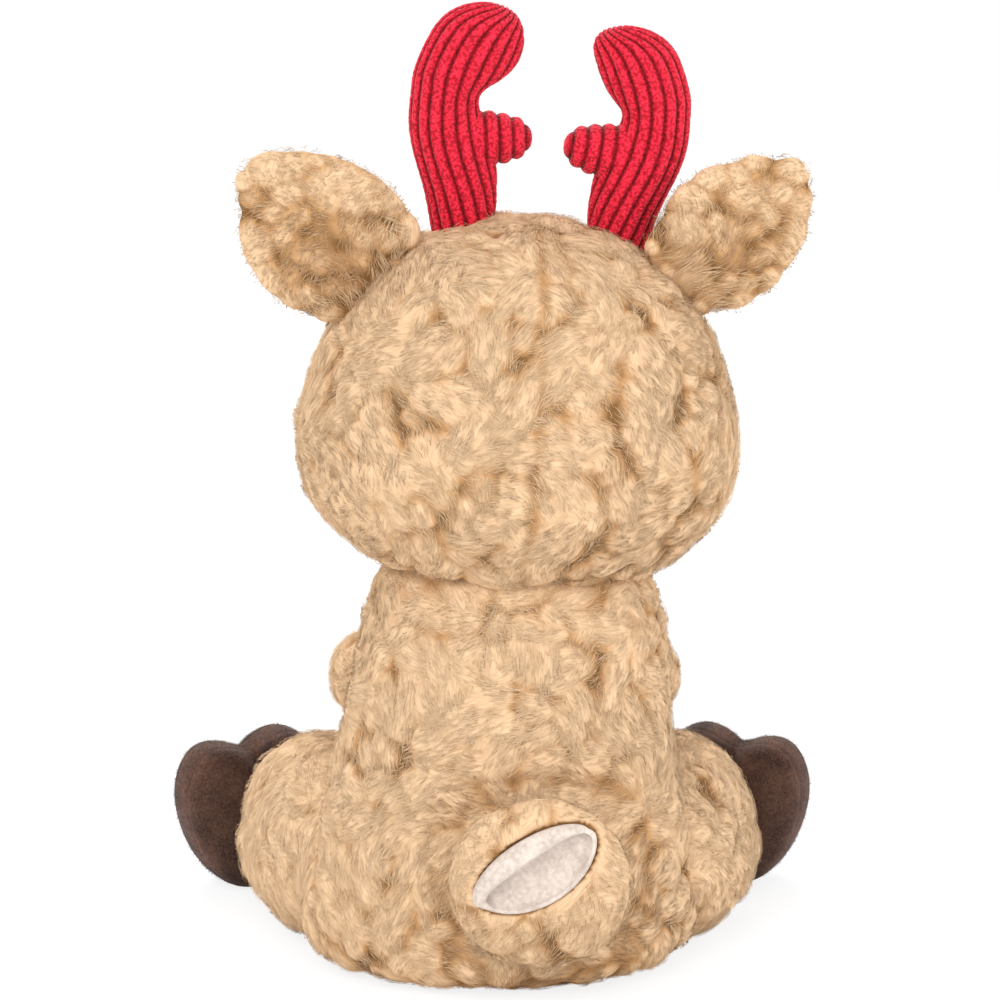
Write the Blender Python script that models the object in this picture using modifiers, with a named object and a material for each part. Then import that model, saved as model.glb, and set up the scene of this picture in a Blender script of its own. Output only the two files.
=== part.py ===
"""A sitting plush deer, built piece by piece in metres, with +Z up.

The toy faces -Y and sits on the plane Z = 0. Its left side is +X. Each soft
cover is a thick shell with its filling inside. A limb, ear, antler or tail
has a round root that turns in a hollow of the piece that carries it.
"""

import bmesh
import bpy
from math import cos, pi, radians, sin, sqrt
from mathutils import Matrix, Vector

# Clearances and fabric
GAP = 0.0003
OVERRUN = 0.15
WELD = 0.00001
FLAT_DEPTH = 0.0005
LONG_PILE = 0.0075
SHORT_PILE = 0.0022
CORDUROY = 0.0024

# Body
TORSO_HEIGHT = 0.112
TORSO_HALF_WIDTH = 0.058
TORSO_HALF_DEPTH = 0.044
TORSO_BACK = 0.007
NECK_HALF_WIDTH = 0.049
NECK_RADIUS = 0.042
NECK_MOUTH_RADIUS = 0.019
NECK_FORWARD = 0.002
POUCH_RADIUS = 0.019
POUCH_HALF_HEIGHT = 0.007
POUCH_BACK = 0.022

# Head
HEAD_HEIGHT = 0.118
HEAD_BASE = 0.014
HEAD_HALF_WIDTH = 0.068
HEAD_HALF_DEPTH = 0.058
HEAD_FORWARD = 0.005
HEAD_ROLL = radians(-4.4)
HEAD_YAW = radians(5.6)
MUZZLE_HALF_WIDTH = 0.027
MUZZLE_HALF_HEIGHT = 0.020
MUZZLE_LENGTH = 0.034
NOSE_HALF_WIDTH = 0.0095
NOSE_HALF_HEIGHT = 0.0065
NOSE_HALF_LENGTH = 0.0055
EYE_RADIUS = 0.0062
EYE_HALF_DEPTH = 0.0040
EYE_SEAT_DEPTH = 0.0025
SHANK_RADIUS = 0.0016
WASHER_RADIUS = 0.0065
WASHER_THICKNESS = 0.0014

# Ears
EAR_LENGTH = 0.050
EAR_HALF_WIDTH = 0.0232
EAR_HALF_THICKNESS = 0.0058
EAR_ROOT_RADIUS = 0.0056
EAR_ROOT_HALF_LENGTH = 0.0085
EAR_BACK = 0.003
EAR_LEAN_LEFT = radians(64.0)
EAR_LEAN_RIGHT = radians(-44.0)
EAR_FLEX = radians(20.0)
EAR_HEM = 0.0042
EAR_LINING_HALF_THICKNESS = 0.0024

# Antlers
ANTLER_LENGTH_LEFT = 0.0745
ANTLER_LENGTH_RIGHT = 0.0700
ANTLER_HALF_WIDTH = 0.0128
ANTLER_HALF_DEPTH = 0.0105
ANTLER_ROOT_RADIUS = 0.0088
ANTLER_FORWARD = 0.013
ANTLER_ASIDE = 0.0027
ANTLER_LEAN_LEFT = radians(-0.5)
ANTLER_LEAN_RIGHT = radians(-0.5)
ANTLER_FLEX = radians(15.0)
ANTLER_MOUTH_RADIUS = 0.0042
BRANCH_LENGTH = 0.0255
BRANCH_RADIUS = 0.0087
BRANCH_TILT = radians(84.0)

# Arms
SHOULDER_RADIUS = 0.0172
ARM_LENGTH = 0.041
ARM_RADIUS = 0.0158
ARM_DROP = radians(16.0)
ARM_TOE_IN = radians(-1.5)
ARM_RAISE = radians(35.0)
FORE_HOOF_LENGTH = 0.022
FORE_HOOF_RADIUS = 0.0128

# Hind legs
HIP_RADIUS = 0.031
LEG_LENGTH = 0.0385
LEG_RADIUS = 0.0302
LEG_SPLAY_LEFT = radians(20.0)
LEG_SPLAY_RIGHT = radians(13.0)
LEG_SWING_OUT = radians(30.0)
LEG_SWING_IN = radians(10.0)
HOOF_HALF_WIDTH = 0.0245
HOOF_HEIGHT = 0.0510
HOOF_HALF_THICKNESS = 0.0165
HOOF_TURN = radians(20.0)
HOOF_LEAN = radians(7.0)
ANKLE_MOUTH_RADIUS = 0.010

# Tail
TAIL_RADIUS = 0.0300
TAIL_HALF_HEIGHT = 0.0305
TAIL_HALF_THICKNESS = 0.0115
TAIL_ROOT_RADIUS = 0.0135
TAIL_STAND_OFF = 0.0165
TAIL_BACK_OFF = 0.0105
TAIL_FLEX = radians(12.0)
LINING_TILT = radians(31.0)
LINING_HALF_LENGTH = 0.0195
LINING_HALF_WIDTH = 0.0098
LINING_DEPTH = 0.0075
LINING_SINK = 0.0015
LINING_THICKNESS = 0.0016

# Facets
BODY_SIDES = 12
LIMB_SIDES = 8
SMALL_SIDES = 6
INNER_SIDES = 8
BALL_SEGMENTS = 16
BALL_RINGS = 8
SMALL_SEGMENTS = 12
SMALL_RINGS = 6

# Places on the torso, as shares of its half width, half depth and height
NECK_RISE_SHARE = 0.929
SHOULDER_SHARES = (0.71, -0.49, 0.745)
HIP_SHARES = (0.776, -0.182)
TAIL_SHARES = (-0.207, 0.977, 0.322)
# Places on the head: sideways share of its half width and rise share of its height
EAR_PLACE_SHARES = (0.72, 0.835)
ANTLER_PLACE_SHARES = (0.353, 0.894)
EYE_PLACE_SHARES = (0.404, 0.475)
MUZZLE_RISE_SHARE = 0.271
MUZZLE_AHEAD_SHARE = 0.862
NOSE_RISE_SHARE = 0.37
NOSE_SINK_SHARE = 0.55
# The branch on the antler, the leg's fuller underside, the hoof on it and the lining on the tail
BRANCH_PLACE_SHARES = (0.50, 0.405)
LEG_SETTLE_SHARE = 0.22
HOOF_AHEAD_SHARE = 1.17
HOOF_OUTWARD_SHARE = 0.46
LINING_PLACE_SHARES = (0.083, 0.32)
# Inner sizes
ARM_WALL_SHARE = 0.8
PLUG_SHARE = 0.5
BLUNT_SHARE = 0.4
POUCH_DEPTH_SHARE = 0.7

# Rows of each form: rise, half width, half depth and shift, each a share of the form's own size
TORSO_SHARES = (
    (-0.005, 0.00, 0.00, 0.00),
    (-0.005, 0.90, 0.93, 1.00),
    (0.150, 1.03, 1.01, 1.10),
    (0.400, 0.985, 0.97, 1.00),
    (0.640, 0.90, 0.95, 0.70),
    (0.860, 0.97, 1.07, 0.20),
    (1.000, 0.00, 0.00, -0.20),
)
HEAD_SHARES = (
    (0.000, 0.00, 0.00, 0.00),
    (0.050, 0.70, 0.70, 0.00),
    (0.190, 0.97, 0.95, 0.00),
    (0.380, 1.025, 1.01, 0.00),
    (0.580, 0.97, 0.99, 0.00),
    (0.775, 0.81, 0.85, 0.00),
    (0.930, 0.50, 0.52, 0.00),
    (1.000, 0.00, 0.00, 0.00),
)
ARM_SHARES = (
    (-0.30, 0.00, 0.00, 0.00),
    (-0.10, 0.80, 0.80, 0.00),
    (0.45, 1.00, 1.00, 0.00),
    (0.95, 0.92, 0.92, 0.00),
    (1.25, 0.84, 0.84, 0.00),
    (1.40, 0.00, 0.00, 0.00),
)
FORE_HOOF_SHARES = (
    (-0.35, 0.00, 0.00, 0.00),
    (-0.20, 0.88, 0.88, 0.00),
    (0.30, 1.06, 1.00, 0.00),
    (0.80, 0.86, 0.78, 0.00),
    (1.00, 0.00, 0.00, 0.00),
)
LEG_SHARES = (
    (-0.55, 0.00, 0.00, 0.00),
    (-0.25, 0.78, 0.78, 0.00),
    (0.30, 1.00, 1.00, 0.00),
    (0.95, 1.02, 1.01, 0.00),
    (1.50, 0.72, 0.72, 0.00),
    (1.76, 0.00, 0.00, 0.00),
)
EAR_SHARES = (
    (0.020, 0.00, 0.00, 0.00),
    (0.070, 0.62, 0.85, 0.00),
    (0.290, 1.03, 1.00, 0.00),
    (0.580, 0.95, 0.95, 0.07),
    (0.850, 0.58, 0.80, 0.25),
    (1.000, 0.00, 0.00, 0.38),
)
ANTLER_SHARES = (
    (-0.080, 0.00, 0.00, 0.00),
    (0.000, 0.66, 0.70, 0.00),
    (0.170, 0.84, 0.90, 0.09),
    (0.300, 0.97, 0.97, 0.30),
    (0.430, 0.97, 1.00, 0.52),
    (0.550, 0.76, 0.98, 0.72),
    (0.660, 0.97, 1.00, 0.48),
    (0.780, 1.10, 1.00, 0.14),
    (0.900, 0.98, 0.90, -0.06),
    (1.000, 0.00, 0.00, -0.18),
)
BRANCH_SHARES = (
    (0.00, 0.00, 0.00, 0.00),
    (0.10, 0.95, 0.95, 0.00),
    (0.62, 0.95, 0.95, 0.00),
    (0.94, 0.60, 0.60, 0.00),
    (1.04, 0.00, 0.00, 0.00),
)
# Cloven hoof outline: sideways share of the half width, rise share of the height
HOOF_OUTLINE_SHARES = (
    (0.00, -0.04),
    (0.52, 0.00),
    (0.90, 0.20),
    (1.08, 0.50),
    (1.02, 0.84),
    (0.62, 1.10),
    (0.16, 0.92),
    (0.00, 0.72),
    (-0.16, 0.92),
    (-0.62, 1.10),
    (-1.02, 0.84),
    (-1.08, 0.50),
    (-0.90, 0.20),
    (-0.52, 0.00),
)
# Hoof sections: place along the foot and size of the outline
HOOF_SECTION_SHARES = ((-0.80, 0.90), (0.80, 0.96))
HOOF_END_SHARE = 1.05
HOOF_HOLLOW_SHARES = (0.78, 0.30, 0.72)
HOOF_MIDDLE_SHARE = 0.47

FUR = (0.73, 0.50, 0.29)
PALE_PILE = (0.86, 0.76, 0.64)
WHITE_PILE = (0.82, 0.79, 0.76)
BROWN_PILE = (0.10, 0.058, 0.042)
RED_CORD = (0.66, 0.025, 0.05)
FIBRE = (0.86, 0.86, 0.84)
POUCH_CLOTH = (0.62, 0.60, 0.56)
NOSE_BROWN = (0.05, 0.025, 0.018)
EYE_BLACK = (0.008, 0.007, 0.007)
WASHER_WHITE = (0.75, 0.75, 0.73)

X_AXIS, Y_AXIS, Z_AXIS = Vector((1, 0, 0)), Vector((0, 1, 0)), Vector((0, 0, 1))
SIDES = ((1, "left"), (-1, "right"))


def clear_scene():
    """Remove whatever the file starts with."""
    for thing in list(bpy.data.objects):
        bpy.data.objects.remove(thing, do_unlink=True)


def make_collection(name):
    collection = bpy.data.collections.new(name)
    bpy.context.scene.collection.children.link(collection)
    return collection


def make_material(name, colour, roughness):
    material = bpy.data.materials.new(name)
    material.use_nodes = True
    shader = material.node_tree.nodes["Principled BSDF"]
    shader.inputs["Base Color"].default_value = (*colour, 1.0)
    shader.inputs["Roughness"].default_value = roughness
    shader.inputs["Metallic"].default_value = 0.0
    return material


def make_empty(name, place, turn=Matrix(), parent=None):
    """An empty that carries the pieces of one joint; its origin lies on the joint's axis."""
    empty = bpy.data.objects.new(name, None)
    PIECES.objects.link(empty)
    empty.parent = parent
    empty.matrix_local = Matrix.Translation(place) @ turn.to_4x4()
    return empty


def finish(name, bm, parent, material):
    """Turn a bmesh into an object; without a material it is a cutter."""
    bmesh.ops.recalc_face_normals(bm, faces=bm.faces)
    mesh = bpy.data.meshes.new(name)
    bm.to_mesh(mesh)
    bm.free()
    mesh.shade_smooth()
    thing = bpy.data.objects.new(name, mesh)
    thing.parent = parent
    if material is None:
        CUTTERS.objects.link(thing)
        thing.hide_render = True
        thing.display_type = "WIRE"
    else:
        PIECES.objects.link(thing)
        mesh.materials.append(material)
    return thing


def smooth(thing, levels=1):
    modifier = thing.modifiers.new("soften", "SUBSURF")
    modifier.levels = levels
    modifier.render_levels = levels


def combine(thing, tool, operation="DIFFERENCE"):
    modifier = thing.modifiers.new(operation.lower(), "BOOLEAN")
    modifier.operation = operation
    modifier.object = tool
    modifier.solver = "EXACT"


def loft(bm, start, rings, end):
    """Skin a start pole, rings of equal count and an end pole."""
    first = bm.verts.new(start)
    previous = None
    for ring in rings:
        verts = [bm.verts.new(point) for point in ring]
        count = len(verts)
        for i in range(count):
            j = (i + 1) % count
            if previous is None:
                bm.faces.new((first, verts[i], verts[j]))
            else:
                bm.faces.new((previous[i], previous[j], verts[j], verts[i]))
        previous = verts
    last = bm.verts.new(end)
    for i in range(len(previous)):
        bm.faces.new((previous[i], previous[(i + 1) % len(previous)], last))


def shrink(bm, inset):
    """Move every vertex of a cage inwards along its normal, or outwards if inset is negative."""
    bmesh.ops.recalc_face_normals(bm, faces=bm.faces)
    bm.normal_update()
    moves = [(vertex, vertex.normal * inset) for vertex in bm.verts]
    for vertex, move in moves:
        vertex.co -= move


def rows_of(shares, length, half_width, half_depth, shift=Vector(), lean=Vector()):
    """Real rows from a table of shares; lean is the shift that a row's last share scales."""
    rows = []
    for rise, wide, deep, moved in shares:
        place = shift + lean * moved + Z_AXIS * rise * length
        rows.append((place, wide * half_width, deep * half_depth))
    return rows


def cage_rings(rows, sides, rounded=True, settle=0):
    """The oval rings of a cage, swelled where subdivision will draw it in to the rows' size.

    With settle, the side towards -Y is fuller at its corners, as a stuffed form is on the floor.
    """
    swell = 6 / (4 + 2 * cos(2 * pi / sides)) if rounded else 1
    rings = []
    for place, half_width, half_depth in rows[1:-1]:
        ring = []
        for i in range(sides):
            angle = 2 * pi * i / sides
            corner = 1 + settle * abs(sin(2 * angle)) if angle > pi else 1
            reach = swell * corner
            ring.append(place + reach * Vector((half_width * cos(angle), half_depth * sin(angle), 0)))
        rings.append(ring)
    return rings


def soft_form(name, rows, sides, inset=0, parent=None, material=None, rounded=True, settle=0):
    """A coarse cage of oval rings along local Z, rounded by subdivision."""
    bm = bmesh.new()
    loft(bm, rows[0][0], cage_rings(rows, sides, rounded, settle), rows[-1][0])
    if inset:
        shrink(bm, inset)
    thing = finish(name, bm, parent, material)
    if rounded:
        smooth(thing)
    return thing


def inner_form(name, rows, inset, parent=None, material=None):
    """A hidden form inside a cover: the cover's rows as rounding draws them in, and blunter ends."""
    eased = [(rows[0][0].lerp(rows[1][0], BLUNT_SHARE), 0, 0)]
    for before, row, after in zip(rows, rows[1:], rows[2:]):
        eased.append(tuple((a + 6 * b + c) / 8 for a, b, c in zip(before, row, after)))
    eased.append((rows[-1][0].lerp(rows[-2][0], BLUNT_SHARE), 0, 0))
    return soft_form(name, eased, INNER_SIDES, inset, parent, material, False)


def ovoid(name, centre, radii, turn=Matrix(), parent=None, material=None,
          segments=SMALL_SEGMENTS, rings=SMALL_RINGS):
    """An ellipsoid with three half axes, its poles along its own Z."""
    bm = bmesh.new()
    bmesh.ops.create_uvsphere(bm, u_segments=segments, v_segments=rings, radius=1.0)
    place = Matrix.Translation(centre) @ turn.to_4x4() @ Matrix.Diagonal((*radii, 1.0))
    bmesh.ops.transform(bm, matrix=place, verts=bm.verts)
    return finish(name, bm, parent, material)


def ball(name, centre, along, across, pole, parent=None, material=None, fine=False):
    """A spheroid with its poles along pole, so that it runs true about that axis."""
    turn = pole.to_track_quat("Z", "Y").to_matrix()
    segments, rings = (BALL_SEGMENTS, BALL_RINGS) if fine else (SMALL_SEGMENTS, SMALL_RINGS)
    return ovoid(name, centre, (across, across, along), turn, parent, material, segments, rings)


def socket_size(radius, segments=SMALL_SEGMENTS):
    """Radius of a faceted hollow whose flats clear a ball of the given radius."""
    return (radius + GAP) / cos(pi / segments)


def rod(name, start, end, radius, parent=None):
    """A plain cylinder between two points."""
    bm = bmesh.new()
    run = end - start
    bmesh.ops.create_cone(bm, cap_ends=True, segments=SMALL_SEGMENTS, radius1=radius, radius2=radius,
                          depth=run.length)
    turn = run.to_track_quat("Z", "Y").to_matrix().to_4x4()
    bmesh.ops.transform(bm, matrix=Matrix.Translation((start + end) / 2) @ turn, verts=bm.verts)
    return finish(name, bm, parent, None)


def half_space(name, place, direction, parent=None):
    """A large box that starts at a point and reaches from it along a direction."""
    bm = bmesh.new()
    bmesh.ops.create_cube(bm, size=OVERRUN * 2)
    turn = direction.to_track_quat("Z", "Y").to_matrix().to_4x4()
    bmesh.ops.transform(bm, matrix=Matrix.Translation(place + direction * OVERRUN) @ turn, verts=bm.verts)
    return finish(name, bm, parent, None)


def hull(name, points, parent=None):
    """Convex cutter round a cloud of points."""
    bm = bmesh.new()
    for point in points:
        bm.verts.new(point)
    bmesh.ops.convex_hull(bm, input=bm.verts)
    loose = [vertex for vertex in bm.verts if not vertex.link_faces]
    bmesh.ops.delete(bm, geom=loose, context="VERTS")
    return finish(name, bm, parent, None)


def ovoid_points(centre, radii, pole=Z_AXIS, fine=False):
    """The corners of a faceted ellipsoid."""
    bm = bmesh.new()
    segments, rings = (BALL_SEGMENTS, BALL_RINGS) if fine else (SMALL_SEGMENTS, SMALL_RINGS)
    bmesh.ops.create_uvsphere(bm, u_segments=segments, v_segments=rings, radius=1.0)
    turn = pole.to_track_quat("Z", "Y").to_matrix() @ Matrix.Diagonal(radii)
    points = [centre + turn @ vertex.co for vertex in bm.verts]
    bm.free()
    return points


def ball_points(centre, radius, pole=Z_AXIS, fine=False):
    return ovoid_points(centre, (radius, radius, radius), pole, fine)


def swung(points, hub, axis, angles):
    """Copies of a cloud of points, turned about an axis through hub by each angle."""
    cloud = []
    for angle in angles:
        turn = Matrix.Rotation(angle, 3, axis)
        cloud += [hub + turn @ (point - hub) for point in points]
    return cloud


def spread_angles(low, high):
    return [low, (low + high) / 2, high]


def turned(name, profile, place, turn, parent, material):
    """A closed profile of radius and height, from top to bottom, turned about local Z."""
    mesh = bpy.data.meshes.new(name)
    count = len(profile)
    edges = [(i, (i + 1) % count) for i in range(count)]
    mesh.from_pydata([(radius, 0, height) for radius, height in profile], edges, [])
    mesh.materials.append(material)
    thing = bpy.data.objects.new(name, mesh)
    PIECES.objects.link(thing)
    thing.parent = parent
    thing.matrix_local = Matrix.Translation(place) @ turn.to_4x4()
    screw = thing.modifiers.new("turn", "SCREW")
    screw.steps = SMALL_SEGMENTS
    screw.render_steps = SMALL_SEGMENTS
    screw.use_merge_vertices = True
    screw.merge_threshold = WELD
    return thing


def neck_point():
    return Vector((0, -NECK_FORWARD, NECK_RISE_SHARE * TORSO_HEIGHT))


def hip_point(side):
    across, back = HIP_SHARES
    return Vector((side * across * TORSO_HALF_WIDTH, back * TORSO_HALF_DEPTH, HIP_RADIUS - FLAT_DEPTH))


def shoulder_point(side):
    across, back, rise = SHOULDER_SHARES
    return Vector((side * across * TORSO_HALF_WIDTH, back * TORSO_HALF_DEPTH, rise * TORSO_HEIGHT))


def tail_point():
    across, back, rise = TAIL_SHARES
    return Vector((across * TORSO_HALF_WIDTH, back * TORSO_HALF_DEPTH, rise * TORSO_HEIGHT))


def tail_radii(grow):
    return TAIL_RADIUS + grow, TAIL_HALF_THICKNESS + grow, TAIL_HALF_HEIGHT + grow


def ear_point(side):
    across, rise = EAR_PLACE_SHARES
    return Vector((side * across * HEAD_HALF_WIDTH, EAR_BACK, HEAD_BASE + rise * HEAD_HEIGHT))


def antler_point(side):
    across, rise = ANTLER_PLACE_SHARES
    return Vector((side * across * HEAD_HALF_WIDTH - ANTLER_ASIDE, -ANTLER_FORWARD,
                   HEAD_BASE + rise * HEAD_HEIGHT))


def antler_length(side):
    return ANTLER_LENGTH_LEFT if side > 0 else ANTLER_LENGTH_RIGHT


def leg_turn(side):
    """Rotation that lays a leg's local Z forwards and outwards."""
    splay = LEG_SPLAY_LEFT if side > 0 else LEG_SPLAY_RIGHT
    return Matrix.Rotation(side * splay, 3, "Z") @ Matrix.Rotation(pi / 2, 3, "X")


def leg_rows():
    return rows_of(LEG_SHARES, LEG_LENGTH, LEG_RADIUS, LEG_RADIUS)


def leg_cage():
    """The leg's rings next to the body, swelled enough to clear it."""
    return cage_rings(leg_rows(), BODY_SIDES, settle=LEG_SETTLE_SHARE)[1:3]


def arm_turn(side):
    """Rotation that points an arm's local Z forwards and down."""
    return Matrix.Rotation(side * ARM_TOE_IN, 3, "Z") @ Matrix.Rotation(pi / 2 + ARM_DROP, 3, "X")


def ear_turn(side):
    return Matrix.Rotation(EAR_LEAN_LEFT if side > 0 else EAR_LEAN_RIGHT, 3, "Y")


def antler_turn(side):
    return Matrix.Rotation(ANTLER_LEAN_LEFT if side > 0 else ANTLER_LEAN_RIGHT, 3, "Y")


def torso_rows():
    return rows_of(TORSO_SHARES, TORSO_HEIGHT, TORSO_HALF_WIDTH, TORSO_HALF_DEPTH, lean=Y_AXIS * TORSO_BACK)


def leg_room(side, grow=0):
    """Points round the space in which a leg swings by the body, spread from the hip by grow."""
    hip = hip_point(side)
    limits = (-LEG_SWING_IN, LEG_SWING_OUT) if side > 0 else (-LEG_SWING_OUT, LEG_SWING_IN)
    cloud = [hip + leg_turn(side) @ point for ring in leg_cage() for point in ring]
    cloud = swung(cloud, hip, "Z", spread_angles(*limits))
    cloud += ball_points(hip, socket_size(HIP_RADIUS, BALL_SEGMENTS), fine=True)
    return [point + (point - hip).normalized() * grow for point in cloud]


def arm_room(side, grow=0):
    """Points round the space in which an arm swings by the body, spread from the shoulder by grow."""
    shoulder = shoulder_point(side)
    tip = shoulder + arm_turn(side) @ (Z_AXIS * ARM_LENGTH)
    cloud = swung(ball_points(tip, ARM_RADIUS + SHORT_PILE), shoulder, "X", spread_angles(-ARM_RAISE, 0))
    cloud += ball_points(shoulder, socket_size(SHOULDER_RADIUS), X_AXIS)
    return [point + (point - shoulder).normalized() * grow for point in cloud]


def carve_torso(skin):
    """Hollows for the round roots of limbs and tail, and the room in which they swing."""
    for side, word in SIDES:
        combine(skin, hull(f"cut_hip_{word}", leg_room(side)))
        combine(skin, hull(f"cut_shoulder_{word}", arm_room(side)))
    size = socket_size(TAIL_ROOT_RADIUS)
    combine(skin, ball("cut_tail", tail_point(), size, size, X_AXIS))
    cloud = ovoid_points(tail_point() + Y_AXIS * TAIL_STAND_OFF, tail_radii(GAP * 2), fine=True)
    cloud = [point for point in cloud if point.y > tail_point().y + TAIL_BACK_OFF]
    cloud += [Vector((point.x, tail_point().y + TAIL_BACK_OFF - GAP * 2, point.z)) for point in cloud]
    cloud = swung(cloud, tail_point(), "X", spread_angles(-TAIL_FLEX, TAIL_FLEX))
    combine(skin, hull("cut_tail_room", cloud))


def torso_interior(name, inset, material=None):
    """The body's inner form, with solid walls left round the hollows of the joints."""
    inner = inner_form(name, torso_rows(), inset, material=material)
    combine(inner, ball(f"cut_dome_{name}", neck_point(), NECK_HALF_WIDTH - inset, NECK_RADIUS - inset,
                        X_AXIS), "UNION")
    combine(inner, half_space(f"cut_floor_{name}", Z_AXIS * inset, -Z_AXIS))
    for side, word in SIDES:
        combine(inner, hull(f"cut_hip_{word}_guard_{name}", leg_room(side, inset)))
        combine(inner, hull(f"cut_shoulder_{word}_guard_{name}", arm_room(side, inset)))
    size = socket_size(TAIL_ROOT_RADIUS) + inset
    combine(inner, ball(f"cut_tail_guard_{name}", tail_point(), size, size, X_AXIS))
    return inner


def build_torso():
    """Body cover with its round neck, its filling and the bean pouch in the seat."""
    skin = soft_form("torso_skin", torso_rows(), BODY_SIDES, material=FUR_CLOTH)
    combine(skin, ball("cut_neck", neck_point(), NECK_HALF_WIDTH, NECK_RADIUS, X_AXIS, fine=True), "UNION")
    combine(skin, half_space("cut_floor", Vector(), -Z_AXIS))
    carve_torso(skin)
    low, high = neck_point() - Z_AXIS * NECK_RADIUS / 2, neck_point() + Z_AXIS * (NECK_RADIUS + LONG_PILE)
    pocket = torso_interior("cut_torso_pocket", LONG_PILE)
    combine(pocket, rod("cut_neck_mouth", low, high, NECK_MOUTH_RADIUS), "UNION")
    combine(skin, pocket)
    filling = torso_interior("torso_stuffing", LONG_PILE + GAP * 2, FIBRE_FILL)
    high = neck_point() + Z_AXIS * (sqrt(NECK_RADIUS ** 2 - NECK_MOUTH_RADIUS ** 2) - SHORT_PILE)
    combine(filling, rod("cut_neck_plug", low, high, NECK_MOUTH_RADIUS - GAP * 2), "UNION")
    place = Vector((0, POUCH_BACK, LONG_PILE + GAP + POUCH_HALF_HEIGHT))
    radii = Vector((POUCH_RADIUS, POUCH_RADIUS * POUCH_DEPTH_SHARE, POUCH_HALF_HEIGHT))
    combine(filling, ovoid("cut_pouch", place, radii + Vector((GAP, GAP, GAP)) * 2))
    combine(filling, rod("cut_below_pouch", place - Z_AXIS * LONG_PILE * 2, place, POUCH_RADIUS / 2))
    ovoid("bean_pouch", place, radii, material=POUCH_FABRIC)


def head_rows():
    shift = Vector((0, -HEAD_FORWARD, HEAD_BASE))
    return rows_of(HEAD_SHARES, HEAD_HEIGHT, HEAD_HALF_WIDTH, HEAD_HALF_DEPTH, shift)


def head_interior(name, head, inset, material=None):
    """The head's inner form, with solid walls left round the hollows of neck and antlers."""
    inner = inner_form(name, head_rows(), inset, head, material)
    along, across = NECK_HALF_WIDTH + GAP + inset, socket_size(NECK_RADIUS) + inset
    combine(inner, ball(f"cut_neck_guard_{name}", neck_point(), along, across, X_AXIS))
    for side, word in SIDES:
        size = socket_size(ANTLER_ROOT_RADIUS) + inset / 2
        combine(inner, ball(f"cut_antler_guard_{word}_{name}", antler_point(side), size, size, X_AXIS, head))
    return inner


def capsule(name, centre, turn, radius, parent):
    """Round-ended roll along its own X, as long as an ear's seam."""
    bm = bmesh.new()
    bmesh.ops.create_uvsphere(bm, u_segments=SMALL_SEGMENTS, v_segments=SMALL_RINGS + 1, radius=radius)
    for vertex in bm.verts:
        vertex.co.z += EAR_ROOT_HALF_LENGTH if vertex.co.z > 0 else -EAR_ROOT_HALF_LENGTH
    place = Matrix.Translation(centre) @ turn.to_4x4() @ Matrix.Rotation(pi / 2, 4, "Y")
    bmesh.ops.transform(bm, matrix=place, verts=bm.verts)
    return finish(name, bm, parent, None)


def build_head():
    """Head cover and filling, in the frame of the neck joint, with everything that the head carries."""
    turn = Matrix.Rotation(HEAD_ROLL, 3, "Y") @ Matrix.Rotation(HEAD_YAW, 3, "Z")
    head = make_empty("head_pose", neck_point(), turn)
    skin = soft_form("head_skin", head_rows(), BODY_SIDES, parent=head, material=FUR_CLOTH)
    across = socket_size(NECK_RADIUS, BALL_SEGMENTS)
    combine(skin, ball("cut_neck_socket", neck_point(), NECK_HALF_WIDTH + GAP, across, X_AXIS, fine=True))
    for side, word in SIDES:
        size = socket_size(ANTLER_ROOT_RADIUS)
        combine(skin, ball(f"cut_antler_root_{word}", antler_point(side), size, size, X_AXIS, head))
        cloud = root_sweep(antler_cage(side)[:3], antler_point(side), antler_turn(side), ANTLER_FLEX)
        combine(skin, hull(f"cut_antler_sweep_{word}", cloud, head))
        size = socket_size(EAR_ROOT_RADIUS)
        combine(skin, capsule(f"cut_ear_root_{word}", ear_point(side), ear_turn(side), size, head))
        cloud = root_sweep(ear_cage(side), ear_point(side), ear_turn(side), EAR_FLEX)
        combine(skin, hull(f"cut_ear_sweep_{word}", cloud, head))
    pocket = head_interior("cut_head_pocket", head, LONG_PILE)
    low, high = Z_AXIS * (NECK_RADIUS - LONG_PILE), Z_AXIS * (NECK_RADIUS + LONG_PILE * 2)
    combine(pocket, rod("cut_head_mouth", low, high, NECK_MOUTH_RADIUS, head), "UNION")
    combine(skin, pocket)
    filling = head_interior("head_stuffing", head, LONG_PILE + GAP * 2, FIBRE_FILL)
    low = Z_AXIS * (NECK_RADIUS + SHORT_PILE)
    combine(filling, rod("cut_head_plug", low, high, NECK_MOUTH_RADIUS - GAP * 2, head), "UNION")
    build_muzzle(head, skin, filling)
    for side, word in SIDES:
        build_eye(side, word, head, skin, filling)
        build_ear(side, word, head)
        build_antler(side, word, head)


def root_sweep(rings, place, turn, flex):
    """Cloud of the cage points near a root, flexed both ways and set on the head."""
    points = [point for ring in rings for point in ring]
    cloud = swung(points, Vector(), "X", spread_angles(-flex, flex))
    return [place + turn @ point for point in cloud]


def muzzle_point():
    return Vector((0, -MUZZLE_AHEAD_SHARE * HEAD_HALF_DEPTH, HEAD_BASE + MUZZLE_RISE_SHARE * HEAD_HEIGHT))


def muzzle_form(name, grow, head, material=None):
    """The muzzle's rounded shape, larger or smaller by grow."""
    radii = (MUZZLE_HALF_WIDTH + grow, MUZZLE_LENGTH + grow, MUZZLE_HALF_HEIGHT + grow)
    return ovoid(name, muzzle_point(), radii, parent=head, material=material)


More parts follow.
